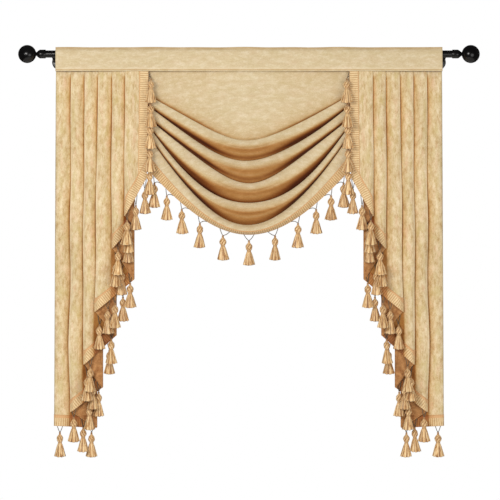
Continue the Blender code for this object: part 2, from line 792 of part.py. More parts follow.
def main():
    for old in list(bpy.data.objects):
        bpy.data.objects.remove(old)
    build_rod()
    build_heading()
    build_swag()
    for name, side in (("left", -1), ("right", 1)):
        build_finial(f"{name}_finial", side)
        build_bracket(f"{name}_bracket", side)
        build_tail(f"{name}_tail", side)
        build_tail_fringe(f"{name}_fringe", side)


main()
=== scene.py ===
import math

import bpy
import numpy as np
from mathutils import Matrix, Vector


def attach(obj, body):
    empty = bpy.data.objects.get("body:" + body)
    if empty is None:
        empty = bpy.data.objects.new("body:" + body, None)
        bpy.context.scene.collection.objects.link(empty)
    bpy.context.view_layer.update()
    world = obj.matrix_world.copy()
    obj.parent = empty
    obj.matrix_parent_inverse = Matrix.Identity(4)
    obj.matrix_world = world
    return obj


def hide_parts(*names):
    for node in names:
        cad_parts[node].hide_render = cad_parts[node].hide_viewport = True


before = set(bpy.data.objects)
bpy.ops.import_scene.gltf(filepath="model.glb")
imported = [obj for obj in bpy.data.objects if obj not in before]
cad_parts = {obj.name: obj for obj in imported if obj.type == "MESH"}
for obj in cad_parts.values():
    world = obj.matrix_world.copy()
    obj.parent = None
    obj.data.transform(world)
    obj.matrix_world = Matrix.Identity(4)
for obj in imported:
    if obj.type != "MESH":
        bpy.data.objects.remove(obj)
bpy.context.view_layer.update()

# A waterfall valance on its rod, in metres. The wall is the plane y = 0, the rod's axis is at z = 0 and
# the front faces -y. Shapes are worked out for the right-hand side as (out, depth, z): out is the
# distance from the middle plane and depth the distance from the wall. side = -1 mirrors one to the left.

clothThickness = 0.0014
webGap = 0.0003       # keeps apart pieces that are sewn to each other
braidWidth = 0.035
braidThickness = 0.0010
rodRadius = 0.014
rodDepth = 0.085      # of the rod's axis, from the wall
seamZ = -0.067        # of the seam below the rod
black, white = (0.0, 0.0, 0.0), (1.0, 1.0, 1.0)


def placed(points, side=1):
    # (out, depth, z) to (x, y, z)
    return np.stack([side * points[..., 0], -points[..., 1], points[..., 2]], axis=-1)


def wander(values, seed, waves=5, slowest=0.5, fastest=3.0):
    # a smooth random line: the mean of some sine waves with seeded rates and phases, about -1 to 1
    rng = np.random.default_rng(seed)
    rates = rng.uniform(slowest, fastest, waves)
    phases = rng.uniform(0, 2 * math.pi, waves)
    return np.sin(2 * math.pi * np.multiply.outer(values, rates) + phases).sum(axis=-1) / math.sqrt(waves)


def crumple(u, v, seed, waves=9, acrossRate=(4.0, 14.0), alongRate=(-3.0, 3.0)):
    # a smooth random relief over a sheet: the sum of plane waves with seeded directions, about -1 to 1
    rng = np.random.default_rng(seed)
    total = np.zeros(np.broadcast(u, v).shape)
    for _ in range(waves):
        across, along = rng.uniform(*acrossRate), rng.uniform(*alongRate)
        total = total + np.sin(2 * math.pi * (across * u + along * v) + rng.uniform(0, 2 * math.pi))
    return total / math.sqrt(waves)


def smooth(values, low, high):
    # 0 below low, 1 above high, and an S curve in between
    share = np.clip((values - low) / (high - low), 0, 1)
    return share * share * (3 - 2 * share)


def bell(values, most, middle, spread):
    # a bell curve: most at its middle, falling off within its spread
    return most * np.exp(-((values - middle) / spread) ** 2)


def gridNormals(grid):
    # unit normals: the cross product of the mean directions of a grid's rows and of its columns
    across = np.gradient(grid, axis=1)
    down = np.gradient(grid, axis=0)
    normals = np.cross(across, down)
    return normals / np.maximum(np.linalg.norm(normals, axis=-1, keepdims=True), 1e-12)


def runLength(grid, axis):
    # how far each point is along its row (axis 1) or its column (axis 0), measured on the cloth
    steps = np.linalg.norm(np.diff(grid, axis=axis), axis=-1)
    pad = [(0, 0), (0, 0)]
    pad[axis] = (1, 0)
    return np.cumsum(np.pad(steps, pad), axis=axis)


def cellCorners(index):
    # the indices at the four corners of each cell, going round it
    return index[:-1, :-1], index[:-1, 1:], index[1:, 1:], index[1:, :-1]


def allCells(grid):
    # every cell between a grid's points
    return np.ones((grid.shape[0] - 1, grid.shape[1] - 1), bool)


def gridFaces(rows, columns, wrap=False):
    # one quad for each cell, row by row; wrap joins the last column to the first
    index = np.arange(rows * columns).reshape(rows, columns)
    if wrap:
        index = np.concatenate([index, index[:, :1]], axis=1)
    return np.stack(cellCorners(index), axis=-1).reshape(-1, 4)


def manyTubes(count, rings, sides):
    # quads and end caps of tubes whose points follow each other, ring by ring
    starts = np.arange(count) * rings * sides
    faces = (gridFaces(rings, sides, True) + starts[:, None, None]).reshape(-1, 4)
    ring = np.arange(sides)
    fans = [start + ring[::-1] for start in starts]
    fans += [start + (rings - 1) * sides + ring for start in starts]
    return faces, fans


def sheetFaces(cells):
    # front, back and rim quads over the chosen cells; the back's points follow all the front's
    rows, columns = cells.shape[0] + 1, cells.shape[1] + 1
    back = rows * columns
    corner = cellCorners(np.arange(back).reshape(rows, columns))
    near = np.pad(cells, 1)
    beside = (near[:-2, 1:-1], near[1:-1, 2:], near[2:, 1:-1], near[1:-1, :-2])
    front = np.stack(corner, axis=-1)[cells]
    rim = [np.stack([p, p + back, q + back, q], axis=-1)[cells & ~taken]
           for p, q, taken in zip(corner, corner[1:] + corner[:1], beside)]
    return front, front[:, ::-1] + back, np.concatenate(rim)


def volumeOf(points, faces):
    # six times the signed volume that quads enclose
    p = points[faces]
    one = np.einsum("ij,ij->i", p[:, 0], np.cross(p[:, 1], p[:, 2])).sum()
    return one + np.einsum("ij,ij->i", p[:, 0], np.cross(p[:, 2], p[:, 3])).sum()


def makePiece(name, points, faces, materials, slots=None, uv=None, fields=None, fans=()):
    # a mesh object from arrays: points, quads, a UV and named values for each point, and end caps as fans
    points = np.asarray(points, float).reshape(-1, 3)
    if volumeOf(points, faces) < 0:
        faces = faces[:, ::-1]
        fans = [fan[::-1] for fan in fans]
    mesh = bpy.data.meshes.new(name)
    mesh.from_pydata(points.tolist(), [], faces.tolist() + [list(map(int, fan)) for fan in fans])
    for material in materials:
        mesh.materials.append(material)
    if slots is not None:
        every = np.concatenate([slots, np.zeros(len(fans), int)]).astype(np.int32)
        mesh.polygons.foreach_set("material_index", every)
    if uv is not None:
        corners = np.empty(len(mesh.loops), np.int32)
        mesh.loops.foreach_get("vertex_index", corners)
        layer = mesh.uv_layers.new(name="UVMap")
        layer.data.foreach_set("uv", np.asarray(uv, float).reshape(-1, 2)[corners].astype(np.float32).ravel())
    for key, values in (fields or {}).items():
        values = np.asarray(values, np.float32)
        vector = values.ndim > 1
        field = mesh.attributes.new(key, "FLOAT_VECTOR" if vector else "FLOAT", "POINT")
        field.data.foreach_set("vector" if vector else "value", values.ravel())
    mesh.shade_smooth()
    mesh.validate()
    piece = bpy.data.objects.new(name, mesh)
    bpy.context.scene.collection.objects.link(piece)
    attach(piece, "root")
    return piece


def hemFrame(grid):
    # braid coordinates over a grid whose last row is the edge: for each point, how far along the edge
    # and how far in from it the point lies, measured square to the edge at the foot of its column
    edge = grid[-1]
    tangent = np.gradient(edge, axis=0)
    tangent = tangent / np.linalg.norm(tangent, axis=-1, keepdims=True)
    away = grid - edge
    forward = (away * tangent).sum(axis=-1)
    across = np.linalg.norm(away - forward[..., None] * tangent, axis=-1)
    along = runLength(edge[None], 1)[0]
    return np.stack([along + forward, across], axis=-1)


def makeSheet(name, grid, side, low, high, cells, materials, shade=0.0, ridge=0.0, uv=None):
    # a thin closed sheet: the grid pushed along its normals by low and by high, joined round its rim;
    # shade is how much painted fold shadow darkens each point, and the argument after it how much painted
    # highlight lightens it
    normals = gridNormals(grid)
    points = np.concatenate([(grid + normals * high).reshape(-1, 3), (grid + normals * low).reshape(-1, 3)])
    front, back, rim = sheetFaces(cells)
    slots = np.repeat([0, 1, 0], [len(front), len(back), len(rim)])
    used, faces = np.unique(np.concatenate([front, back, rim]), return_inverse=True)
    if uv is None:
        across = np.broadcast_to(runLength(grid, 1).mean(axis=0), grid.shape[:2])
        uv = np.stack([across, runLength(grid, 0)], axis=-1)
    uv = np.tile(uv.reshape(-1, 2), (2, 1))[used]
    fields = {}
    for key, values in (("painted_shade", shade), ("ridge", ridge)):
        fields[key] = np.tile(np.broadcast_to(values, grid.shape[:2]).ravel(), 2)[used]
    piece = makePiece(name, placed(points, side)[used], faces.reshape(-1, 4), materials, slots, uv, fields)
    return piece


# Materials. A signal is a (node, output) pair.

def newMaterial(name, surface):
    # a material whose shader has these values, and its node tree
    material = bpy.data.materials.new(name)
    material.use_nodes = True
    tree = material.node_tree
    for socket, value in surface.items():
        tree.nodes["Principled BSDF"].inputs[socket].default_value = value
    return material, tree


def addNode(tree, kind, feeds=None, **settings):
    # a node with these settings; feeds gives the signal that goes into each of its sockets
    made = tree.nodes.new(f"ShaderNode{kind}")
    for key, value in settings.items():
        if key in made.inputs:
            made.inputs[key].default_value = value
        else:
            setattr(made, key, value)
    for socket, (source, output) in (feeds or {}).items():
        tree.links.new(source.outputs[output], made.inputs[socket])
    return made


def noise(tree, place, scale, detail, roughness=0.5, distortion=0.0):
    # cloudy noise, as a signal
    return addNode(tree, "TexNoise", {"Vector": place}, Scale=scale, Detail=detail, Roughness=roughness,
                   Distortion=distortion), "Fac"


def wave(tree, place, axis, scale, distortion, detail=2.0):
    # soft bands across one axis, as a signal
    return addNode(tree, "TexWave", {"Vector": place}, wave_type="BANDS", bands_direction=axis, Scale=scale,
                   Distortion=distortion, Detail=detail), "Fac"


def attribute(tree, name, output="Fac"):
    # the values that a piece's points carry, as a signal
    return addNode(tree, "Attribute", attribute_name=name), output


def tones(tree, source, *stops):
    # a colour ramp through (position, colour) stops
    made = addNode(tree, "ValToRGB", {"Fac": source})
    elements = made.color_ramp.elements
    while len(elements) < len(stops):
        elements.new(0.5)
    for element, (position, colour) in zip(elements, stops):
        element.position = position
        element.color = (*colour, 1.0)
    return made, "Color"


def mixed(tree, first, second, factor, blend="MIX"):
    # first and second are signals or plain colours, and factor is a signal or a number
    made = addNode(tree, "Mix", data_type="RGBA", blend_type=blend)
    for value, socket in ((factor, 0), (first, 6), (second, 7)):
        if isinstance(value, tuple) and isinstance(value[0], bpy.types.Node):
            tree.links.new(value[0].outputs[value[1]], made.inputs[socket])
        else:
            made.inputs[socket].default_value = value if socket == 0 else (*value, 1.0)
    return made, 2


def multiplied(tree, first, second, factor=1.0):
    # each colour channel of first times that of second
    return mixed(tree, first, second, factor, "MULTIPLY")


def dress(tree, colour, height=None, strength=0.0, distance=0.0):
    # gives the shader its colour, and a relief that follows height
    shader = tree.nodes["Principled BSDF"]
    tree.links.new(colour[0].outputs[colour[1]], shader.inputs["Base Color"])
    if height:
        relief = addNode(tree, "Bump", {"Height": height}, Strength=strength, Distance=distance)
        tree.links.new(relief.outputs["Normal"], shader.inputs["Normal"])


# painted fold shade: how it tints the cloth, from open cloth to the bottom of a fold
paintedShadeTint = (
    (0.00, (1.00, 1.00, 1.00)),
    (0.30, (0.88, 0.76, 0.60)),
    (0.60, (0.62, 0.36, 0.17)),
    (0.85, (0.30, 0.11, 0.03)),
    (1.00, (0.10, 0.022, 0.004)),
)


def paintedFoldShade(tree, colour):
    # painted shade: darkens a colour by the attribute that holds each point's painted fold shadow
    return multiplied(tree, colour, tones(tree, attribute(tree, "painted_shade"), *paintedShadeTint))


clothFinish = {
    "light": (0.900, 0.765, 0.540),
    "middle": (0.760, 0.605, 0.368),
    "deep": (0.580, 0.400, 0.195),
    "olive": (0.640, 0.520, 0.240),
    "rose": (0.840, 0.570, 0.400),
    # painted highlight colour, mixed in along the folds and just above the heading's seam
    "ridge": (0.960, 0.800, 0.560),
    "stops": (0.36, 0.49, 0.61),      # where the marks are deep, middle and light
    "crushedTone": (1.0, 1.0, 1.0),
    "calmTone": (0.915, 0.950, 1.010),
    # scale, detail, roughness and distortion of each noise
    "patches": (9.0, 3.0, 0.6),
    "hues": (34.0, 3.0, 0.6),
    "marks": (60.0, 6.0, 0.80, 0.15),
    "tufts": (420.0, 2.0, 0.6),
    "longDown": (1.0, 0.40, 1.0),     # marks run down the crushed cloth, and across the calm one
    "longAcross": (0.40, 1.0, 1.0),
    "patchTones": ((0.35, (0.86, 0.85, 0.80)), (0.60, white)),
    "patchShare": 0.75,
    # where in the hues' noise the flecks of each colour start, and their strength
    "oliveFlecks": (((0.52, black), (0.66, white)), 0.55),
    "roseFlecks": (((0.32, white), (0.46, black)), 0.40),
    "tuftTones": ((0.30, (0.86, 0.84, 0.80)), (0.66, (1.07, 1.06, 1.04))),
    "tuftShare": 0.7,
    "relief": 0.55,
    "pileDepth": 0.0016,
    "surface": {"Roughness": 0.85, "Specular IOR Level": 0.15, "Sheen Weight": 0.12,
                "Sheen Roughness": 0.45, "Sheen Tint": (1.0, 0.90, 0.72, 1.0)},
}


def chenille(name, strength, run, tone):
    # soft pile: long patches of olive and rose, crushed light and dark marks, fine tufts in relief, and
    # painted highlight and fold shade
    look = dict(clothFinish)
    for key in ("light", "middle", "deep", "olive", "rose", "ridge"):
        look[key] = tuple(c * t for c, t in zip(look[key], look[tone]))
    material, tree = newMaterial(name, look["surface"])
    place = addNode(tree, "TexCoord"), "UV"
    place = addNode(tree, "Mapping", {"Vector": place}, Scale=look[run]), "Vector"
    patches, hues, marks, tufts = (
        noise(tree, place, *look[key]) for key in ("patches", "hues", "marks", "tufts"))

    def towards(key, share):
        return tuple(m + (c - m) * share for m, c in zip(look["middle"], look[key]))

    colours = towards("deep", strength), look["middle"], towards("light", 0.5 + 0.5 * strength)
    cloth = tones(tree, marks, *zip(look["stops"], colours))
    cloth = multiplied(tree, cloth, tones(tree, patches, *look["patchTones"]), look["patchShare"] * strength)
    for hue in ("olive", "rose"):
        stops, most = look[f"{hue}Flecks"]
        share = addNode(tree, "Math", {0: tones(tree, hues, *stops)}, operation="MULTIPLY")
        share.inputs[1].default_value = most * strength
        cloth = mixed(tree, cloth, look[hue], (share, 0))
    cloth = multiplied(tree, cloth, tones(tree, tufts, *look["tuftTones"]), look["tuftShare"])
    # painted highlight, by the points' attribute; painted fold shade is multiplied in below
    cloth = mixed(tree, cloth, look["ridge"], attribute(tree, "ridge"))
    height = addNode(tree, "Math", {0: tufts, 2: marks}, operation="MULTIPLY_ADD")
    height.inputs[1].default_value = 0.5
    relief = look["relief"] * (0.4 + 0.6 * strength)
    dress(tree, paintedFoldShade(tree, cloth), (height, 0), relief, look["pileDepth"])
    return material


backFinish = {
    "light": (0.640, 0.340, 0.140),
    "dark": (0.270, 0.100, 0.030),
    "clouds": (40.0, 5.0, 0.7),
    "threads": 260.0,      # wave scale
    "threadTones": ((0.2, (0.80, 0.78, 0.75)), (0.9, (1.06, 1.05, 1.03))),
}


def bareBack(name):
    # the woven back of the pile: brown, with fine threads both ways
    look = backFinish
    material, tree = newMaterial(name, {"Roughness": 0.9, "Specular IOR Level": 0.2})
    place = addNode(tree, "TexCoord"), "UV"
    across, along = (wave(tree, place, axis, look["threads"], 0.4) for axis in "XY")
    weave = addNode(tree, "Math", {0: across, 1: along}, operation="MAXIMUM"), 0
    cloth = tones(tree, noise(tree, place, *look["clouds"]), (0.3, look["dark"]), (0.65, look["light"]))
    cloth = multiplied(tree, cloth, tones(tree, weave, *look["threadTones"]), 0.8)
    dress(tree, cloth, weave, 0.3, 0.0006)
    return material


braidFinish = {
    "light": (0.900, 0.710, 0.430),
    "dark": (0.640, 0.420, 0.205),
    "edge": (0.740, 0.440, 0.210),
    "ribs": 37.0,      # wave scale; a rib is about 8.5 mm
    "lines": 90.0,     # wave scale of the rows of weft
    "lineTones": ((0.1, (0.84, 0.81, 0.76)), (0.6, (1.04, 1.03, 1.0))),
    "wear": (60.0, 4.0, 0.7),
    "wearTones": ((0.3, (0.80, 0.76, 0.70)), (0.7, (1.10, 1.08, 1.05))),
    # the thread lines, by the share of the width
    "edgeLines": ((0.0, white), (0.07, black), (0.90, black), (0.93, white), (1.0, white)),
}


def ribbedBraid(name):
    # a braid ribbed across its width, with a thread line along each edge, darkened by painted fold shade
    look = braidFinish
    material, tree = newMaterial(name, {"Roughness": 0.62, "Specular IOR Level": 0.35, "Sheen Weight": 0.15})
    place = addNode(tree, "TexCoord"), "UV"
    ribs = wave(tree, place, "X", look["ribs"], 1.2, 1.0)
    colour = tones(tree, ribs, (0.10, look["dark"]), (0.60, look["light"]))
    lines = tones(tree, wave(tree, place, "Y", look["lines"], 0.5), *look["lineTones"])
    colour = multiplied(tree, colour, lines, 0.6)
    wear = tones(tree, noise(tree, place, *look["wear"]), *look["wearTones"])
    colour = multiplied(tree, colour, wear, 0.9)
    across = addNode(tree, "SeparateXYZ", {"Vector": place})
    share = addNode(tree, "Math", {0: (across, "Y")}, operation="DIVIDE")
    share.inputs[1].default_value = braidWidth
    colour = mixed(tree, colour, look["edge"], tones(tree, (share, 0), *look["edgeLines"]))
    dress(tree, paintedFoldShade(tree, colour), ribs, 0.7, 0.0008)
    return material


yarnFinish = {
    "light": (0.980, 0.760, 0.440),
    "middle": (0.760, 0.430, 0.160),
    "dark": (0.250, 0.090, 0.020),
    "string": (0.180, 0.135, 0.090),
    "streaks": (3.2, 5.0, 0.75),
    "tints": (0.5, 1.0),
    "tintTones": ((0.35, (0.82, 0.76, 0.68)), (0.65, (1.08, 1.06, 1.02))),
}


def silkyYarn(name):
    # bunched thread: streaks that follow the strand attribute, which turns round each tassel, and painted
    # shade in its grooves
    look = yarnFinish
    material, tree = newMaterial(name, {"Roughness": 0.42, "Specular IOR Level": 0.5, "Sheen Weight": 0.25})
    strand = attribute(tree, "strand", "Vector")
    streaks = noise(tree, strand, *look["streaks"])
    colour = tones(tree, streaks, (0.39, look["dark"]), (0.46, look["middle"]), (0.55, look["light"]))
    tint = tones(tree, noise(tree, strand, *look["tints"]), *look["tintTones"])
    colour = multiplied(tree, colour, tint, 0.8)
    dress(tree, mixed(tree, colour, look["dark"], attribute(tree, "painted_groove_shade")), streaks, 0.6, 0.001)
    return material


def twistedString(name):
    # a thin grey-brown string, a little uneven along its length
    material, tree = newMaterial(name, {"Roughness": 0.7})
    fleck = noise(tree, (addNode(tree, "TexCoord"), "Object"), 900.0, 2.0)
    dark = tuple(c * 0.5 for c in yarnFinish["string"])
    dress(tree, tones(tree, fleck, (0.3, dark), (0.7, yarnFinish["string"])))
    return material


metalFinish = {
    "dark": (0.0028, 0.0026, 0.0030),
    "light": (0.006, 0.0056, 0.006),
    "spray": (700.0, 3.0, 0.6),
    "wear": (22.0, 3.0),
    "roughness": (0.18, 0.27),
}


def blackSatin(name):
    # sprayed black metal: near black, with faint mottling in its gloss
    look = metalFinish
    material, tree = newMaterial(name, {"Specular IOR Level": 0.42})
    place = addNode(tree, "TexCoord"), "Object"
    worn = noise(tree, place, *look["wear"])
    gloss = addNode(tree, "MapRange", {"Value": worn})
    gloss.inputs["To Min"].default_value, gloss.inputs["To Max"].default_value = look["roughness"]
    tree.links.new(gloss.outputs["Result"], tree.nodes["Principled BSDF"].inputs["Roughness"])
    colour = tones(tree, worn, (0.35, look["dark"]), (0.75, look["light"]))
    dress(tree, colour, noise(tree, place, *look["spray"]), 0.08, 0.0004)
    return material


crushedCloth = chenille("crushed_chenille", 1.0, "longDown", "crushedTone")
calmCloth = chenille("calm_chenille", 0.28, "longAcross", "calmTone")
clothBack = bareBack("bare_back")
braid = ribbedBraid("ribbed_braid")
yarn = silkyYarn("silky_yarn")
string = twistedString("twisted_string")
satinBlack = blackSatin("black_satin")
print("materials ready")


# Heading: a sleeve round the rod, with a small stand-up edge and a seam below

heading = {
    "half": 0.749,                  # of its width
    "wall": 0.0015,
    "columns": 300,
    "ripple": 0.0011,
    "ruffleWave": 0.0007,
    "front": (0.088, 0.100),        # depths over which the sleeve's back gives way to its front
    "ruffle": (0.012, 0.024),       # heights over which it gives way to the stand-up edge
    # painted shade on the stand-up edge
    "ruffleShade": 0.25,
    # painted seam shade and painted highlight above the seam: strength, z there, and how far it spreads
    "seamShade": (0.45, -0.0606, 0.0012),
    "beadLight": (0.35, -0.0560, 0.0030),
    # depth and z of the sleeve's outer face, going round from the seam's front corner
    "outer": (
        (0.1030, seamZ), (0.1056, -0.0640), (0.1040, -0.0606), (0.1049, -0.0520), (0.1046, -0.0360),
        (0.1036, -0.0180), (0.1016, 0.0000), (0.0985, 0.0120), (0.0925, 0.0200), (0.0888, 0.0245),
        (0.0870, 0.0265), (0.0850, 0.0260), (0.0832, 0.0210), (0.0780, 0.0168), (0.0712, 0.0100),
        (0.0690, 0.0000), (0.0695, -0.0200), (0.0740, -0.0480), (0.0778, seamZ),
    ),
}


def throughPoints(table, steps):
    # a Catmull-Rom curve: each span blends its two ends and their neighbours' slopes, on whole arrays
    table = np.asarray(table, float)
    padded = np.concatenate([2 * table[:1] - table[1:2], table, 2 * table[-1:] - table[-2:-1]])
    share = (np.arange(steps) / steps).reshape((1, steps) + (1,) * (table.ndim - 1))
    p0, p1, p2, p3 = (padded[i:len(padded) - 3 + i, None] for i in range(4))
    curve = 0.5 * (2 * p1 + (p2 - p0) * share + (2 * p0 - 5 * p1 + 4 * p2 - p3) * share ** 2
                   + (3 * p1 - p0 - 3 * p2 + p3) * share ** 3)
    return np.concatenate([curve.reshape((-1,) + table.shape[1:]), table[-1:]])


def makeHeading(look):
    # the sleeve's profile carried along the rod, its front and its stand-up edge rippling a little
    profile = throughPoints(look["outer"], 4)[::-1]
    depth, z = profile[:, :1], profile[:, 1:]
    out = np.linspace(-look["half"], look["half"], look["columns"])
    front = smooth(depth, *look["front"])
    ruffle = smooth(z, *look["ruffle"])
    ripple = crumple(out[None, :], z * 3, 3, 10, (1.0, 7.0), (-2.0, 2.0))
    ripple = look["ripple"] * ripple * front
    wavy = look["ruffleWave"] * wander(out, 8, 6, 1.0, 6.0)[None, :] * ruffle
    grid = np.stack(np.broadcast_arrays(out[None, :], depth + ripple, z + wavy), axis=-1)
    # painted shade along the seam and on the stand-up edge, and a painted highlight just above the seam
    piece = makeSheet("heading_cloth", grid, 1, -look["wall"], 0.0, allCells(grid), [calmCloth, clothBack],
                      bell(z, *look["seamShade"]) * front + look["ruffleShade"] * ruffle,
                      bell(z, *look["beadLight"]) * front)
    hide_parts("heading")


makeHeading(heading)
print("heading ready")


# Tails: knife pleats, each face in front of the one outside it, on a slanting hem

tail = {
    # each fold line from the outer edge to the inner one: out at the seam and at the hem, the hem's z
    "folds": (
        (0.7477, 0.7547, -1.440),
        (0.588, 0.588, -1.448),
        (0.689, 0.695, -1.386),
        (0.565, 0.565, -1.293),
        (0.636, 0.642, -1.202),
        (0.512, 0.512, -1.092),
        (0.584, 0.595, -0.998),
        (0.443, 0.443, -0.875),
        (0.529, 0.531, -0.7535),
        (0.445, 0.445, -0.6625),
        (0.479, 0.482, -0.628),
        (0.3885, 0.3947, -0.4795),
    ),
    "backDepth": 0.080,
    "stepTop": 0.0022,       # depth from one layer to the next at the seam
    "stepGrowth": 0.005,     # and how much it grows for each metre down
    "bulge": 0.010,          # how far each pleat swells forwards
    "bulgeStart": 0.08,
    "bulgeSkew": 0.75,       # below 1, a pleat is fullest nearer its outer fold
    "bulgeWander": 0.22,
    "wobble": 0.0022,
    "crease": 0.0011,
    "slackLength": 0.15,     # how soon below the seam the folds are free to wander
    "faceColumns": 30,
    "backColumns": 8,
    "turnSteps": 5,
    "rows": 170,
    "rowCrowding": 1.15,     # above 1, the rows crowd towards the seam
    "bandRows": 10,
    "overhang": 0.003,
    # painted shadow by the next pleat's edge: strength, and the shares of a face over which it sets in
    "broadShadow": (0.34, 0.42, 0.95),
    "narrowShadow": (0.42, 0.84, 1.0),
    # painted shade on the pleats' hidden faces, then painted highlight along the folds with the shares of a
    # face over which it fades
    "hiddenShade": 0.35,
    "edgeLight": 0.62,
    "edgeLightShares": (0.02, 0.20),
}
hangZ = seamZ - webGap


def tailColumns(look):
    # for each column: the fold that it starts from, its share of the way to the next, its level and angle
    rows = []
    last = len(look["folds"]) - 2
    for face in range(last + 1):
        count = look["faceColumns"] if face % 2 == 0 else look["backColumns"]
        shares = np.linspace(0.0, 1.0, count + 1)
        if face == last:
            rows += [(face, share, face, np.nan) for share in shares[1:]]
            continue
        rows += [(face, share, face, np.nan) for share in shares[0 if face == 0 else 1:-1]]
        angles = np.linspace(-90, 90, look["turnSteps"])
        rows += [(face + 1, 0.0, face + 0.5, angle) for angle in angles]
    return np.array(rows[::-1])


def tailSurface(look):
    # out runs between two fold lines, or round a half circle where the cloth turns back; depth is the
    # layer's own plus a swell between this pleat's front edge and the next one's; z runs seam to hem
    folds = np.array(look["folds"])
    last = len(folds) - 1
    fold, share, level, angle = tailColumns(look).T
    fold = fold.astype(int)
    after = np.minimum(fold + 1, last)
    turning = ~np.isnan(angle)
    turn = np.radians(np.where(turning, angle, 0.0))

    def hemSlope(other):
        run = np.abs(folds[other, 1] - folds[fold, 1])
        return np.abs(folds[other, 2] - folds[fold, 2]) / np.maximum(run, 1e-6)

    slope = hemSlope(after)
    slope = np.where(turning, (slope + hemSlope(np.maximum(fold - 1, 0))) / 2, slope)
    drop = hangZ - (folds[fold, 2] + (folds[after, 2] - folds[fold, 2]) * share)
    band = braidWidth * np.hypot(1, slope)
    upper = np.linspace(0, 1, look["rows"])[:-1, None] ** look["rowCrowding"] * ((drop - band) / drop)
    lower = 1 - np.linspace(1, 0, look["bandRows"])[:, None] * (band / drop)
    cut = 1 - (look["overhang"] / drop)[None, :]
    down = np.concatenate([upper, lower[:-1], cut, np.ones_like(cut)]) * drop
    slack = 1 - np.exp(-down / look["slackLength"])

    def foldOut(which):
        straight = folds[which, 0] + (folds[which, 1] - folds[which, 0]) * down / (hangZ - folds[which, 2])
        wobble = np.zeros_like(down)
        for number in range(2, last, 2):
            wobble = np.where(which == number, wander(down, 40 + number, 5, 0.6, 2.6), wobble)
        return straight + look["wobble"] * wobble * slack

    shownFace = fold % 2 == 0
    inward = np.where(shownFace, -1.0, 1.0)
    step = look["stepTop"] + look["stepGrowth"] * down
    radius = step / 2
    own = foldOut(fold)
    startOut = own + inward * radius * (fold > 0)
    endOut = foldOut(after) - inward * radius * (after < last)
    turnOut = own + inward * radius * (1 - np.cos(turn))
    out = np.where(turning, turnOut, startOut + (endOut - startOut) * share)
    # the shown width of a face ends at the next pleat's front edge, or at the band on the last face
    nextFront = np.minimum(fold + 2, last)
    edge = foldOut(nextFront) + np.where(nextFront == last, braidWidth, 0.0)
    shown = np.clip((own - out) / np.maximum(own - edge, 1e-6), 0, 1)
    face = shownFace & ~turning
    swell = look["bulge"] * (1 - np.exp(-down / look["bulgeStart"]))
    swell = swell * (1 + look["bulgeWander"] * wander(down + 0.37 * fold, 5, 5, 0.5, 2.2))
    swell = swell * np.sin(math.pi * shown ** look["bulgeSkew"])
    crease = look["crease"] * crumple(out, down, 21, 14, (5.0, 22.0), (-2.2, 2.2))
    crease = crease * np.sin(math.pi * shown) * slack
    depth = look["backDepth"] + level * step + np.where(face, swell + crease, 0.0)
    depth = depth + np.where(turning, radius * np.sin(turn), 0.0)
    # painted shadow of the next pleat's edge on the last of each face, and painted highlight along the folds
    covered = fold != last - 1
    (broad, *broadShares), (narrow, *narrowShares) = look["broadShadow"], look["narrowShadow"]
    fresh = 0.75 + 0.35 * wander(down * 1.3 + 0.61 * fold, 15, 5, 0.6, 2.4)
    shadow = broad * smooth(shown, *broadShares) * fresh + narrow * smooth(shown, *narrowShares)
    painted_shade = np.where(face & covered, np.clip(shadow * smooth(down, 0.0, 0.03), 0, 1), 0.0)
    painted_shade = np.where(~shownFace & covered, look["hiddenShade"], painted_shade)
    lit = shownFace * np.where(turning, 1.0, 1 - smooth(shown, *look["edgeLightShares"]))
    patchy = np.clip(0.62 + 0.45 * wander(down * 1.7 + 0.43 * fold, 17, 5, 0.8, 3.0), 0, 1)
    ridge = look["edgeLight"] * patchy * lit * smooth(down, 0.0, 0.06) * (fold > 0)
    return np.stack([out, depth, hangZ - down], axis=-1), painted_shade, ridge


tailGrid, tailPaintedShade, tailPaintedHighlight = tailSurface(tail)
bandMiddle = clothThickness / 2 + webGap + braidThickness / 2


def makeTail(name, side):
    # the pleated sheet, without its last row, where only the braid hangs
    cells = allCells(tailGrid)
    cells[-1] = False
    piece = makeSheet(f"{name}_tail_cloth", tailGrid, side, -clothThickness / 2, clothThickness / 2, cells,
                      [crushedCloth, clothBack], tailPaintedShade, tailPaintedHighlight)
    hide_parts(f"{name}_tail")


for name, side in (("left", -1), ("right", 1)):
    makeTail(name, side)
print("tails ready", tailGrid.shape)


# Swag: five hanging folds between rails that run from side to side

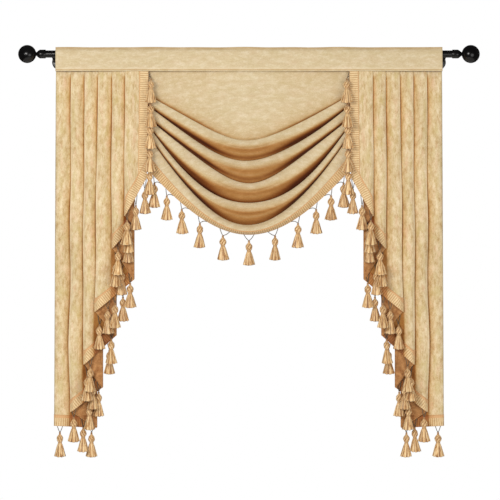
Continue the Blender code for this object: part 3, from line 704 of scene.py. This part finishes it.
swag = {
    "half": 0.383,         # of the opening between the tails at the seam
    "reach": 1.07,         # how far the cloth goes, as a share of that, in behind the tails
    "columns": 150,
    "steps": 5,            # rows of points from one rail to the next
    # the lip of each fold: z on the middle line and at half, and bend, small for straight arms
    "lips": (
        (-0.333, -0.165, 0.33),
        (-0.415, -0.208, 0.50),
        (-0.498, -0.257, 0.35),
        (-0.584, -0.288, 1.50),
        (-0.661, -0.328, 0.95),
    ),
    # share of the way to the next lip, depth and painted shade, each in the middle and at the side
    "fold": (
        (0.00, 0.00, 0.1040, 0.0950, 0.00, 0.10),
        (0.15, 0.22, 0.1150, 0.0972, 0.00, 0.00),
        (0.33, 0.50, 0.1235, 0.0987, 0.40, 0.00),
        (0.46, 0.72, 0.1265, 0.0977, 0.62, 0.30),
        (0.70, 0.88, 0.1160, 0.0925, 0.60, 0.94),
        (0.96, 1.00, 0.0990, 0.0870, 0.78, 1.00),
        (1.13, 1.12, 0.0900, 0.0850, 0.70, 1.00),
        (1.08, 1.08, 0.0955, 0.0890, 0.55, 1.00),
        (1.02, 1.02, 0.1000, 0.0920, 0.20, 0.80),
    ),
    # z, depth and painted shade of the plain panel above the folds, each in the middle and at the side
    "top": (
        (hangZ, hangZ, 0.1010, 0.0910, 0.00, 0.10),
        (-0.140, -0.095, 0.0930, 0.0895, 0.00, 0.05),
        (-0.230, -0.125, 0.0900, 0.0885, 0.00, 0.05),
        (-0.305, -0.152, 0.0882, 0.0865, 0.12, 0.20),
        (-0.332, -0.1650, 0.0864, 0.0852, 0.35, 0.75),
        (-0.344, -0.172, 0.0870, 0.0860, 0.45, 1.00),
        (-0.339, -0.169, 0.0925, 0.0890, 0.20, 0.80),
    ),
    # the same for the last fold and the hem
    "hem": (
        (-0.661, -0.328, 0.1040, 0.0950, 0.05, 0.20),
        (-0.666, -0.346, 0.1120, 0.0988, 0.00, 0.00),
        (-0.673, -0.368, 0.1200, 0.1025, 0.00, 0.00),
        (-0.685, -0.400, 0.1250, 0.1040, 0.05, 0.00),
        (-0.693, -0.431, 0.1110, 0.1035, 0.15, 0.00),
        (-0.6975, -0.452, 0.0960, 0.1022, 0.25, 0.05),
        (-0.6985, -0.458, 0.0935, 0.1018, 0.30, 0.05),
    ),
    "hemBend": 1.0,
    "wobble": 0.0035,
    "looseBelow": -0.300,      # the panel's rails wander like the folds below this height
    "crease": 0.0010,
    # strength of the painted shade streaks in the shaded part of each fold
    "streak": 0.07,
    "braidRails": 3,           # spans between rails that the braid covers
    # painted shade on the swag's braid: the least, and its share of the cloth's painted shade
    "braidShade": (0.12, 0.25),
}


def railRise(u, bend):
    # 0 on the middle line and 1 at the side: a hyperbola, tight in the middle for a small bend
    return (np.sqrt(u * u + bend * bend) - bend) / (math.sqrt(1 + bend * bend) - bend)


def swagSurface(look):
    # rails from the tables above, each a hyperbola across, joined by a smooth curve down the cloth, with
    # their painted shade
    u = np.linspace(-look["reach"], look["reach"], look["columns"])
    side = np.minimum(u * u, 1.0)
    shadeSide = smooth(np.abs(u), 0.08, 0.55)
    rails, shades = [], []

    def lineAcross(middle, end, bend, number, loose=1.0):
        # a rail's z, wandering a little near the middle line
        stray = look["wobble"] * wander(u * 0.5, 60 + number, 4, 0.5, 2.0) * (1 - side)
        return middle + (end - middle) * railRise(u, bend) + stray * loose

    def add(z, midDepth, sideDepth, midShade, sideShade):
        depth = midDepth + (sideDepth - midDepth) * side
        rails.append(np.stack([u * look["half"], depth, z], axis=-1))
        shades.append(midShade + (sideShade - midShade) * shadeSide)

    lips = look["lips"]
    for middle, end, *rest in look["top"]:
        add(lineAcross(middle, end, lips[0][2], 0, float(middle < look["looseBelow"])), *rest)
    lines = [lineAcross(*lip, number) for number, lip in enumerate(lips)]
    for above, below in zip(lines[:-1], lines[1:]):
        for midShare, sideShare, *rest in look["fold"]:
            add(above + (below - above) * (midShare + (sideShare - midShare) * side), *rest)
    low, high = look["hem"][0][0], look["hem"][-1][0]
    for middle, end, *rest in look["hem"]:
        share = (middle - low) / (high - low)
        bend = lips[-1][2] + (look["hemBend"] - lips[-1][2]) * share
        add(lineAcross(middle, end, bend, len(lips) - 1, 1 - share), *rest)
    grid = throughPoints(np.stack(rails), look["steps"])
    shade = np.clip(throughPoints(np.stack(shades), look["steps"]), 0, 1)
    down = runLength(grid, 0)
    soft = crumple(down, u[None, :] * 0.4, 33, 12, (3.0, 16.0), (-5.0, 5.0))
    grid[..., 1] += look["crease"] * soft * (1 - shade) * smooth(down, 0.0, 0.1)
    # painted shade streaks, standing for finer creases, follow the rails along the shaded part of each fold
    rail = np.arange(len(grid))[:, None] / look["steps"]
    streaks = crumple(rail, u[None, :] * 0.5, 71, 8, (0.5, 1.5), (-0.7, 0.7))
    return grid, np.clip(shade + look["streak"] * streaks * smooth(shade, 0.15, 0.45), 0, 1)


swagGrid, swagShade = swagSurface(swag)


def makeSwag():
    # the whole surface, as one sheet
    piece = makeSheet("swag_cloth", swagGrid, 1, -clothThickness / 2, clothThickness / 2, allCells(swagGrid),
                      [calmCloth, clothBack], swagShade)
    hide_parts("swag")


makeSwag()
print("swag ready", swagGrid.shape)


# Braid: sewn on the face of the cloth along its hems and along the tails' inner edges

def makeBraid(name, node, grid, side, cells, shade, uv):
    # a run of braid over some cells of the cloth's grid, 0.3 mm off its face
    low, high = bandMiddle - braidThickness / 2, bandMiddle + braidThickness / 2
    piece = makeSheet(name, grid, side, low, high, cells, [braid, braid], shade, uv=uv)
    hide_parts(node)


def makeBraids():
    # the tails' hem and inner edge and the swag's hem; the swag's braid is measured down the cloth
    innerColumns = int(np.argmin(np.abs(tailGrid[5, :, 0] - tailGrid[5, 0, 0] - braidWidth)))
    onHem = ~allCells(tailGrid)
    onHem[-tail["bandRows"] - 1:] = True
    onEdge = np.zeros_like(onHem)
    onEdge[:, :innerColumns] = True
    onEdge &= ~onHem
    hemUv = hemFrame(tailGrid)
    edgeUv = hemFrame(tailGrid.transpose(1, 0, 2)[::-1]).transpose(1, 0, 2)[:, ::-1]
    for name, side in (("left", -1), ("right", 1)):
        for run, cells, uv in (("hem", onHem, hemUv), ("edge", onEdge, edgeUv)):
            makeBraid(f"{name}_{run}_braid", f"{name}_fringe", tailGrid, side, cells,
                      tailPaintedShade, uv)
    onSwag = ~allCells(swagGrid)
    braidRows = swag["steps"] * swag["braidRails"]
    onSwag[-braidRows:] = True
    swagUv = hemFrame(swagGrid)
    away = runLength(swagGrid[::-1], 0)[::-1]
    swagUv[..., 1] = braidWidth * away / away[-braidRows - 1]
    # painted shade on the swag's braid, following that of the cloth
    least, more = swag["braidShade"]
    shade = least + more * swagShade
    makeBraid("swag_braid", "swag_fringe", swagGrid, 1, onSwag, shade, swagUv)


makeBraids()
print("braids ready")


# Tassels: a knot, a wound ball and a skirt of threads on two strings from the braid's edge

tassel = {
    # shares of each run of the braid at which a tassel hangs: a tail's inner edge from the top down,
    # then the hem of each face of its pleats, from the inner edge to the outer one
    "onTail": (
        (0.03, 0.26, 0.46, 0.68, 0.89),
        (0.08, 0.48, 0.86),
        (0.50,),
        (0.20, 0.68),
        (0.20, 0.45, 0.83),
        (0.27, 0.46, 0.64),
        (0.24, 0.78),
        (0.20, 0.76),
        (0.20, 0.52, 0.80),
        (0.38, 0.84),
        (0.50, 0.80),
        (0.85,),
    ),
    "swagOut": (0.0, 0.101, 0.190, 0.260, 0.318, 0.366),
    "loopDrop": 0.022,       # from the lower end of a loop to its tassel's knot
    "leanShare": 1.1,        # how far a loop on a sloping hem shifts uphill, as a share of the slope
    "swagSpread": 0.020,     # half of a loop's width at the braid
    "tailSpread": 0.010,
    "uprightShare": 0.9,     # steeper than this, an edge counts as upright and its tassels hang beside it
    "sideShift": 0.010,
    "sideDrop": 0.005,
    "clear": 0.0010,         # from one tassel to the next
    "clothClear": 0.002,
    "heights": 24,           # at which two tassels are compared
    "cordPoints": 20,        # at which a string is compared with another tassel
    "sideReach": 0.026,      # how far to the side cloth can be in a tassel's way
    "knotRise": 0.004,
    "knotBack": 0.018,
    "stepForward": 0.001,
    # how far forwards of its ball a tassel's foot may lie on the one below, the least that clears first
    "leans": (0.0, 0.006, 0.012, 0.018, 0.024, 0.030, 0.036),
    # how far down from the knot, and the radius there
    "down": (0.0000, 0.0030, 0.0070, 0.0110, 0.0150, 0.0200, 0.0265, 0.0330, 0.0380, 0.0415,
             0.0450, 0.0530, 0.0650, 0.0780, 0.0900, 0.0975),
    "radius": (0.0018, 0.0042, 0.0036, 0.0056, 0.0092, 0.0120, 0.0130, 0.0117, 0.0086, 0.0078,
               0.0090, 0.0118, 0.0150, 0.0184, 0.0212, 0.0224),
    # inside the skirt's mouth: how far up, and the share of its radius
    "mouth": ((0.004, 0.80), (0.007, 0.35)),
    "ball": ((0.012, 0.018), (0.036, 0.041)),    # where its winding sets in and ends
    "winding": (6, 330.0, 0.06),                 # starts, pitch and height
    "stem": 0.015,
    "skirtStart": 0.0430,
    "fluteFade": (0.041, 0.061),     # where the flutes grow to their full depth
    "raggedStart": 0.078,
    "flatness": 0.62,        # the skirt's depth as a share of its width at its foot
    "sides": 36,
    "flute": 0.065,
    "flutes": ((9, 1.0), (14, 0.7), (5, 0.5)),   # how many go round, and their share
    "sizes": (0.94, 1.04),
    "swing": 0.0022,
    "ragged": 0.0016,
    "rimRise": 0.0045,       # the skirt's sides end this much higher than its front
    # painted shade round the skirt's neck and the knot: strength, how far down and how far it spreads
    "necks": ((0.45, 0.0415, 0.003), (0.75, 0.0040, 0.005)),
    # painted shade inside the skirt's mouth
    "mouthShade": 0.9,
    # how fast the yarn's streaks change: round a tassel, to the next one, down it, and more down its ball
    "strand": (1.5, 17.0, 9.0, 40.0),
    "stringRadius": 0.0015,
    "stringSteps": 9,
    "stringSides": 5,
    "sag": 0.0030,
    "arch": 0.0045,          # a string whose end is hardly above the knot arches up instead
    "levelRise": 0.010,
}


def alongLine(line, distances):
    # points of a line of points at these distances along it
    reached = np.concatenate([[0.0], np.cumsum(np.linalg.norm(np.diff(line, axis=0), axis=1))])
    return np.stack([np.interp(distances, reached, line[:, i]) for i in range(3)], axis=-1), reached


def axisDepth(look, depth, knotDepth, lean, down):
    # a tassel's middle line: back at the knot, then straight, leaning forwards to its foot
    back = (knotDepth - depth) * (1 - np.clip(down / look["stem"], 0, 1))
    return depth + back + lean * np.clip((down - look["stem"]) / (look["down"][-1] - look["stem"]), 0, 1)


def flatShare(look, down):
    # a tassel's depth as a share of its width: round above, flatter down the skirt
    return 1 - (1 - look["flatness"]) * smooth(down, look["skirtStart"], look["down"][-1])


def sectionAt(look, hung, z):
    # half width, half depth and depth of a tassel at these heights; zero width where it isn't
    down = hung["z"] - z
    width = np.interp(down, look["down"], look["radius"], left=0.0, right=0.0)
    middle = axisDepth(look, hung["depth"], hung["knotDepth"], hung["lean"], down)
    return width, width * flatShare(look, down), middle


def tooNear(look, one, other):
    # true where two tassels, or one's body and the other's strings, are closer than their clearance
    z = one["z"] - np.linspace(0, look["down"][-1], look["heights"])
    wide, deep, depth = sectionAt(look, one, z)
    wideToo, deepToo, depthToo = sectionAt(look, other, z)
    gap = np.hypot((one["out"] - other["out"]) / (wide + wideToo + look["clear"]),
                   (depth - depthToo) / (deep + deepToo + look["clear"]))
    if (gap[wideToo > 0] < 1).any():
        return True
    for corded, body in ((one, other), (other, one)):
        knot = np.array([corded["out"], corded["knotDepth"], corded["z"]])
        for end in corded["ends"]:
            line = end + (knot - end) * np.linspace(0, 1, look["cordPoints"])[:, None]
            wide, deep, depth = sectionAt(look, body, line[:, 2])
            gap = np.hypot((line[:, 0] - body["out"]) / (wide + look["clear"]),
                           (line[:, 1] - depth) / (deep + look["clear"]))
            if (gap[wide > 0] < 1).any():
                return True
    return False


def hangFree(look, hung, least, everyHung):
    # leans a tassel out over those already hung or, where that isn't enough, moves it forwards too
    depth = hung["depth"]
    while True:
        for lean in look["leans"]:
            hung["depth"], hung["lean"] = depth, lean
            hung["knotDepth"] = max(least, depth - look["knotBack"])
            if not any(tooNear(look, hung, other) for other in everyHung):
                return
        depth += look["stepForward"]


def hangTassels(look, line, distances, spread, level, cloth):
    # one tassel at each distance along the braid's edge, leaning or forwards until it hangs free; at level 0
    # it hangs below the lower end of its loop, at level 1 below the braid above it with its loop leaning
    everyHung = []
    for distance in distances:
        (before, at, after), _ = alongLine(line, np.array([distance - spread, distance, distance + spread]))
        upright = abs(after[2] - before[2]) > look["uprightShare"] * 2 * spread
        lower = min(before[2], after[2])
        lean = (before[2] - after[2]) / 2 * look["leanShare"] * level
        (before, after), _ = alongLine(line, np.array([distance - spread, distance + spread]) + lean)
        hung = {
            "out": at[0] - (look["sideShift"] if upright else 0.0),
            "z": lower + (at[2] - lower) * level - (look["sideDrop"] if upright else look["loopDrop"]),
            "ends": (before, after),
            "depth": at[1],
            "knotDepth": at[1],
            "lean": 0.0,
        }
        knotReach = look["clothClear"] + look["radius"][0] + look["clear"]
        aside, below = np.abs(cloth[:, 0] - hung["out"]), hung["z"] - cloth[:, 2]
        behind = (aside < knotReach - look["clothClear"]) & (np.abs(below) < look["knotRise"])
        least = max(at[1], cloth[behind, 1].max() + knotReach) if behind.any() else at[1]
        hung["depth"] = least
        close = (aside < look["sideReach"]) & (below > 0) & (below < look["down"][-1])
        wide, deep, _ = sectionAt(look, hung, cloth[close, 2])
        share = aside[close] / (wide + look["clear"])
        near = share < 1
        if near.any():
            swell = deep[near] * np.sqrt(1 - share[near] ** 2)
            touching = cloth[close, 1][near] + look["clothClear"] + swell + look["clear"]
            hung["depth"] = max(least, touching.max())
        hangFree(look, hung, least, everyHung)
        everyHung.append(hung)
    return everyHung


def makeTassels(name, look, everyHung, side, seed):
    # the turned profile of every tassel at once: rings of points whose radius is fluted down the skirt
    rng = np.random.default_rng(seed)
    count = len(everyHung)
    down, radius = throughPoints(np.array([look["down"], look["radius"]]).T, 2).T
    up, share = np.array(look["mouth"]).T
    down, radius = np.concatenate([down, down[-1] - up]), np.concatenate([radius, radius[-1] * share])
    rings, foot = len(down), look["down"][-1]
    down = down[:, None]
    theta = 2 * math.pi * np.arange(look["sides"]) / look["sides"]
    skirt = smooth(down, *look["fluteFade"])
    ball = smooth(down, *look["ball"][0]) * (1 - smooth(down, *look["ball"][1]))
    phase = rng.uniform(0, 2 * math.pi, (3, count, 1, 1))
    flute = sum(part * np.cos(number * theta + phase[i]) for i, (number, part) in enumerate(look["flutes"]))
    starts, pitch, height = look["winding"]
    wound = np.cos(starts * theta + pitch * down + phase[0])
    swell = 1 + look["flute"] * flute * skirt + height * wound * ball
    size = rng.uniform(*look["sizes"], (count, 1, 1))
    reach = radius[:, None] * swell * size
    swing = rng.uniform(-look["swing"], look["swing"], (count, 1, 1)) * (down / foot) ** 2
    ragged = look["ragged"] * np.cos(9 * theta + phase[0]) * rng.uniform(0.3, 0.8, (count, 1, 1))
    ragged = ragged + look["ragged"] / 2 * np.cos(17 * theta + phase[1])
    ragged = ragged - look["rimRise"] * np.sin(theta) ** 2
    out, z, depth, knot, lean = (np.array([hung[key] for hung in everyHung])[:, None, None]
                                 for key in ("out", "z", "depth", "knotDepth", "lean"))
    points = np.stack([
        out + reach * np.sin(theta) + swing,
        axisDepth(look, depth, knot, lean, down) + reach * np.cos(theta) * flatShare(look, down),
        z - down - ragged * smooth(down, look["raggedStart"], foot),
    ], axis=-1)
    around, apart, along, ballAlong = look["strand"]
    strand = np.stack(np.broadcast_arrays(
        np.cos(theta) * around + apart * np.arange(count)[:, None, None],
        np.sin(theta) * around,
        down * along + ballAlong * ball * down,
    ), axis=-1).reshape(-1, 3)
    # painted shade: dark in the flutes' grooves, the ball's winding, round the necks and inside the mouth
    painted_groove_shade = np.clip(-flute * 0.68, 0, 0.90) * skirt + np.clip(-wound * 0.9, 0, 0.80) * ball
    inside = np.arange(rings)[:, None] >= rings - len(up)
    dark = sum(bell(down, *neck) for neck in look["necks"]) + look["mouthShade"] * inside
    painted_groove_shade = np.clip(painted_groove_shade + dark, 0, 1).ravel()
    faces, fans = manyTubes(count, rings, look["sides"])
    piece = makePiece(name, placed(points, side), faces, [yarn], fields={"strand": strand, "painted_groove_shade": painted_groove_shade},
                      fans=fans)


def makeStrings(name, look, everyHung, side):
    # two strings a tassel: a tube along a sagging line from the knot to the braid
    steps, sides = look["stringSteps"], look["stringSides"]
    knots = np.array([[hung["out"], hung["knotDepth"], hung["z"] - 0.001] for hung in everyHung])
    ends = np.array([hung["ends"] for hung in everyHung])
    share = np.linspace(0, 1, steps)[None, None, :, None]
    line = knots[:, None, None, :] + (ends[:, :, None, :] - knots[:, None, None, :]) * share
    rise = (ends[..., 2] - knots[:, None, 2])[..., None]
    bow = np.where(rise < look["levelRise"], look["arch"], -look["sag"])
    line[..., 2] += bow * np.sin(math.pi * share[..., 0])
    line = line.reshape(-1, steps, 3)
    along = np.gradient(line, axis=1)
    along /= np.linalg.norm(along, axis=-1, keepdims=True)
    across = np.cross(along, (0.0, 1.0, 0.0))
    across /= np.maximum(np.linalg.norm(across, axis=-1, keepdims=True), 1e-6)
    other = np.cross(along, across)
    turn = 2 * math.pi * np.arange(sides)[:, None] / sides
    ring = across[:, :, None] * np.cos(turn) + other[:, :, None] * np.sin(turn)
    points = line[:, :, None] + look["stringRadius"] * ring
    faces, fans = manyTubes(len(line), steps, sides)
    piece = makePiece(name, placed(points, side), faces, [string], fans=fans)


def braidEdges():
    # the line that the tassels hang from, inner edge first and then the hem, and where its turns are
    edges = tailGrid + gridNormals(tailGrid) * bandMiddle
    line = np.concatenate([edges[:-1, 0], edges[-1]])
    turns = np.nonzero(tailColumns(tail)[:, 3] == 0)[0] + len(edges) - 1
    return line, turns


def clothPoints():
    # points of all the cloth on one side, close set, for hanging the tassels clear of it
    fine = [tailGrid[:, :-1] + (tailGrid[:, 1:] - tailGrid[:, :-1]) * share for share in (0.0, 0.5)]
    half = swagGrid[:, swagGrid.shape[1] // 2:]
    return np.concatenate([points.reshape(-1, 3) for points in fine + [half]])


def makeAllTassels(look):
    # those of the tails are hung from the outer edge in, and those of the swag from left to right
    cloth = clothPoints()
    line, turns = braidEdges()
    _, reached = alongLine(line, np.zeros(1))
    ends = reached[[0, len(tailGrid) - 1, *turns, -1]]
    runs = zip(ends[:-1], ends[1:], look["onTail"])
    distances = np.concatenate([start + (end - start) * np.array(shares) for start, end, shares in runs])
    onTail = hangTassels(look, line, distances[::-1], look["tailSpread"], 0.0, cloth)
    hem = (swagGrid + gridNormals(swagGrid) * bandMiddle)[-1]
    _, reached = alongLine(hem, np.zeros(1))
    outs = np.array(look["swagOut"])
    distances = np.interp(np.concatenate([-outs[:0:-1], outs]), hem[:, 0], reached)
    mirrored = np.concatenate([cloth, cloth * (-1, 1, 1)])
    onSwag = hangTassels(look, hem, distances, look["swagSpread"], 1.0, mirrored)
    groups = (("left", -1, onTail), ("right", 1, onTail), ("swag", 1, onSwag))
    for seed, (name, side, everyHung) in enumerate(groups, start=1):
        makeTassels(f"{name}_tassels", look, everyHung, side, seed)
        makeStrings(f"{name}_strings", look, everyHung, side)
    print("tassels ready", len(onTail), len(onSwag), "most forward", max(hung["depth"] for hung in onTail))


makeAllTassels(tassel)


# Rod, finials and brackets

hardware = {
    "sides": 64,
    "rodHalf": 0.800,
    "rodChamfer": 0.001,
    "finialProfile": (
        # out and radius, from the socket's mouth to the ball's tip
        (0.8005, 0.0050), (0.8003, rodRadius), (0.7875, 0.01432), (0.7870, 0.0150), (0.7872, 0.0162),
        (0.7885, 0.0170), (0.8085, 0.0170), (0.8105, 0.0168), (0.8160, 0.0130), (0.8220, 0.0078),
        (0.8235, 0.0066),
    ),
    "ballOut": 0.859,
    "ballRadius": 0.035,
    "ballSteps": 34,
    "plateSides": 48,
    "screwSides": 20,
    "plateOut": 0.736,
    "plateZ": -0.029,
    "plateProfile": ((0.0, 0.0), (0.0, 0.0285), (0.0008, 0.0300), (0.0035, 0.0300), (0.0052, 0.0288),
                     (0.0060, 0.0265), (0.0060, 0.0)),
    "screwRise": 0.0185,
    "screwShift": -0.004,
    "screwRadius": 0.0042,
    # distance from the wall, and share of the radius
    "screwProfile": ((0.005, 0.0), (0.005, 1.0), (0.0068, 0.9), (0.0076, 0.5), (0.0078, 0.0)),
    "cupOut": 0.757,
    "cupWidth": 0.010,
    "cupWall": 0.003,
    "cupGap": 0.0006,
    "cupReach": 100,           # degrees to each side of its foot
    "cupSteps": 33,
    "armWidth": 0.008,
    "armBevel": 0.0006,
    "armStart": 0.0045,
    "armTop": -0.0172,
    "armBottom": -0.030,
}


def turnedPiece(profile, centre, axis, side, sides):
    # a profile of (distance along, radius) turned about the x or the y axis through centre
    along, radius = np.array(profile, float).T
    turn = 2 * math.pi * np.arange(sides) / sides
    one, two = radius[:, None] * np.cos(turn), radius[:, None] * np.sin(turn)
    line = np.repeat(along[:, None], sides, axis=1)
    order = (line, one, two) if axis == "x" else (one, line, two)
    points = np.stack(order, axis=-1) + np.array(centre)
    return placed(points, side).reshape(-1, 3), gridFaces(len(profile), sides, True)


def hardPiece(name, parts, node):
    # joins (points, faces) parts into one piece; closed ends come from profiles that start or end at 0
    points = np.concatenate([part[0] for part in parts])
    starts = np.cumsum([0] + [len(part[0]) for part in parts[:-1]])
    flipped = [f[:, ::-1] if volumeOf(p, f) < 0 else f for p, f in parts]
    faces = np.concatenate([f + start for f, start in zip(flipped, starts)])
    piece = makePiece(name, points, faces, [satinBlack])
    piece.data.set_sharp_from_angle(angle=math.radians(35))
    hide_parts(node)


def bentBar(outline, look, side):
    # a flat outline of (depth, z) given a width along the rod, with small bevels along its edges
    outline = np.array(outline, float)
    middle = outline.mean(axis=0)
    half, inset = look["armWidth"] / 2, look["armBevel"]
    shrink = outline + (middle - outline) * (inset / np.linalg.norm(middle - outline, axis=1).max())
    rings = [(-half, shrink * 0 + middle), (-half, shrink), (-half + inset, outline),
             (half - inset, outline), (half, shrink), (half, shrink * 0 + middle)]
    points = np.stack([np.column_stack([np.full(len(o), look["cupOut"] + w), o]) for w, o in rings])
    return placed(points, side).reshape(-1, 3), gridFaces(len(rings), len(outline), True)


def openCup(look, side):
    # an arc round the rod's underside, given a wall and a width, with both ends closed
    steps, reach = look["cupSteps"], math.radians(look["cupReach"])
    angles = np.linspace(-math.pi / 2 - reach, -math.pi / 2 + reach, steps)
    radius = rodRadius + look["cupGap"] + np.array([0, 1, 1, 0]) * look["cupWall"]
    out = look["cupOut"] + np.array([-1, -1, 1, 1]) * look["cupWidth"] / 2
    ring = np.stack(np.broadcast_arrays(out, rodDepth + np.cos(angles)[:, None] * radius,
                                        np.sin(angles)[:, None] * radius), axis=-1)
    end = (steps - 1) * 4
    caps = np.array([[0, 1, 2, 3], [end + 3, end + 2, end + 1, end]])
    return placed(ring, side).reshape(-1, 3), np.concatenate([gridFaces(steps, 4, True), caps])


def makeHardware(look):
    # the rod, and on each side a finial and a bracket of plate, screws, cup and arm
    half, chamfer, sides = look["rodHalf"], look["rodChamfer"], look["sides"]
    ends = ((-half, 0.0), (-half, rodRadius - chamfer), (-half + chamfer, rodRadius))
    profile = ends + tuple((-along, radius) for along, radius in ends[::-1])
    hardPiece("rod_tube", [turnedPiece(profile, (0, rodDepth, 0), "x", 1, sides)], "rod")
    start = math.asin(look["finialProfile"][-1][1] / look["ballRadius"])
    angles = np.linspace(start, math.pi, look["ballSteps"])
    ball = np.column_stack([look["ballOut"] - look["ballRadius"] * np.cos(angles),
                            look["ballRadius"] * np.sin(angles)])
    ball[-1, 1] = 0.0
    finial = np.concatenate([[(look["finialProfile"][0][0], 0.0)], look["finialProfile"], ball[1:]])
    screw = np.array(look["screwProfile"]) * (1.0, look["screwRadius"])
    near, top, bottom = look["armStart"], look["armTop"], look["armBottom"]
    arm = ((near, bottom), (near, top), (rodDepth, top), (rodDepth + 0.004, top - 0.002),
           (rodDepth - 0.006, bottom))
    plateOut, plateZ = look["plateOut"], look["plateZ"]
    for name, side in (("left", -1), ("right", 1)):
        turned = turnedPiece(finial, (0, rodDepth, 0), "x", side, sides)
        hardPiece(f"{name}_finial_turned", [turned], f"{name}_finial")
        parts = [turnedPiece(look["plateProfile"], (plateOut, 0.0, plateZ), "y", side,
                             look["plateSides"])]
        for rise in (-look["screwRise"], look["screwRise"]):
            centre = (plateOut + look["screwShift"], 0.0, plateZ + rise)
            parts.append(turnedPiece(screw, centre, "y", side, look["screwSides"]))
        parts += [openCup(look, side), bentBar(arm, look, side)]
        hardPiece(f"{name}_bracket_arm", parts, f"{name}_bracket")


makeHardware(hardware)
print("hardware ready")


# Camera, floor and studio light

studio = {
    "middle": (0.004, -0.1, -0.759),   # what the camera looks at
    "distance": 18.0,
    "viewWidth": 1.935,
    "sensor": 36.0,
    "floorZ": -2.35,
    "floorRadius": 2.4,
    "floorSides": 96,
    "backdrop": 1.0,
    "ambient": 0.50,
    "bounce": (1.0, 0.95, 0.88),       # the room's own light, a little warm
    "reflected": 0.05,
    "aim": (0.0, -0.1, -0.7),
    # name, place, size, power and colour
    "lamps": (
        ("key", (-1.5, -3.8, 0.2), 1.2, 63.0, (1.0, 0.98, 0.95)),
        ("fill", (1.9, -3.8, -1.2), 2.4, 40.0, (1.0, 0.98, 0.96)),
        ("front", (-3.0, -4.2, 0.0), 0.35, 12.0, (1.0, 0.99, 0.97)),
    ),
}


def makeCamera(look):
    # a long lens, straight on, that takes in viewWidth at its distance
    scene = bpy.context.scene
    x, y, z = look["middle"]
    lens = bpy.data.cameras.new("studio_camera")
    lens.sensor_width = look["sensor"]
    lens.lens = look["sensor"] * look["distance"] / look["viewWidth"]
    lens.clip_end = 60
    camera = bpy.data.objects.new("studio_camera", lens)
    camera.location = (x, y - look["distance"], z)
    camera.rotation_euler = (math.pi / 2, 0, 0)
    scene.collection.objects.link(camera)
    scene.camera = camera
    scene.view_settings.view_transform = "Standard"


def makeFloor(look):
    # a flat disc: rings of points about its middle
    sides = look["floorSides"]
    turn = np.linspace(0, 2 * math.pi, sides, endpoint=False)
    rings = np.array([0.001, 0.5, 0.98, 1.0])[:, None] * look["floorRadius"]
    height = np.array([0.0, 0.0, 0.0, -0.01])[:, None] + look["floorZ"]
    points = np.stack(np.broadcast_arrays(rings * np.cos(turn), rings * np.sin(turn), height), axis=-1)
    faces = gridFaces(4, sides, True)[:, ::-1].tolist() + [list(range(sides))]
    mesh = bpy.data.meshes.new("floor")
    mesh.from_pydata(points.reshape(-1, 3).tolist(), [], faces)
    material, _ = newMaterial("pale_floor", {"Base Color": (0.86, 0.86, 0.85, 1.0), "Roughness": 0.8})
    mesh.materials.append(material)
    floor = bpy.data.objects.new("floor", mesh)
    bpy.context.scene.collection.objects.link(floor)


def makeWorld(look):
    # the camera sees plain white; the cloth gets a softer, warmer light and gloss hardly any
    world = bpy.data.worlds.new("studio")
    bpy.context.scene.world = world
    world.use_nodes = True
    tree = world.node_tree
    background = tree.nodes["Background"]
    rays = addNode(tree, "LightPath")
    colour, output = mixed(tree, look["bounce"], white, (rays, "Is Camera Ray"))
    tree.links.new(colour.outputs[output], background.inputs["Color"])
    soft = addNode(tree, "MapRange", {"Value": (rays, "Is Glossy Ray")})
    soft.inputs["To Min"].default_value = look["ambient"]
    soft.inputs["To Max"].default_value = look["reflected"]
    level = addNode(tree, "MapRange", {"Value": (rays, "Is Camera Ray"), "To Min": (soft, "Result")})
    level.inputs["To Max"].default_value = look["backdrop"]
    tree.links.new(level.outputs["Result"], background.inputs["Strength"])


def makeLamps(look):
    # square area lamps, all turned to the same point
    for name, place, size, power, colour in look["lamps"]:
        light = bpy.data.lights.new(name, "AREA")
        light.shape = "RECTANGLE"
        light.size = light.size_y = size
        light.energy = power
        light.color = colour
        lamp = bpy.data.objects.new(name, light)
        lamp.location = place
        aim = Vector(look["aim"]) - Vector(place)
        lamp.rotation_euler = aim.to_track_quat("-Z", "Y").to_euler()
        bpy.context.scene.collection.objects.link(lamp)


makeCamera(studio)
makeFloor(studio)
makeWorld(studio)
makeLamps(studio)
print("studio ready")

bpy.context.view_layer.update()
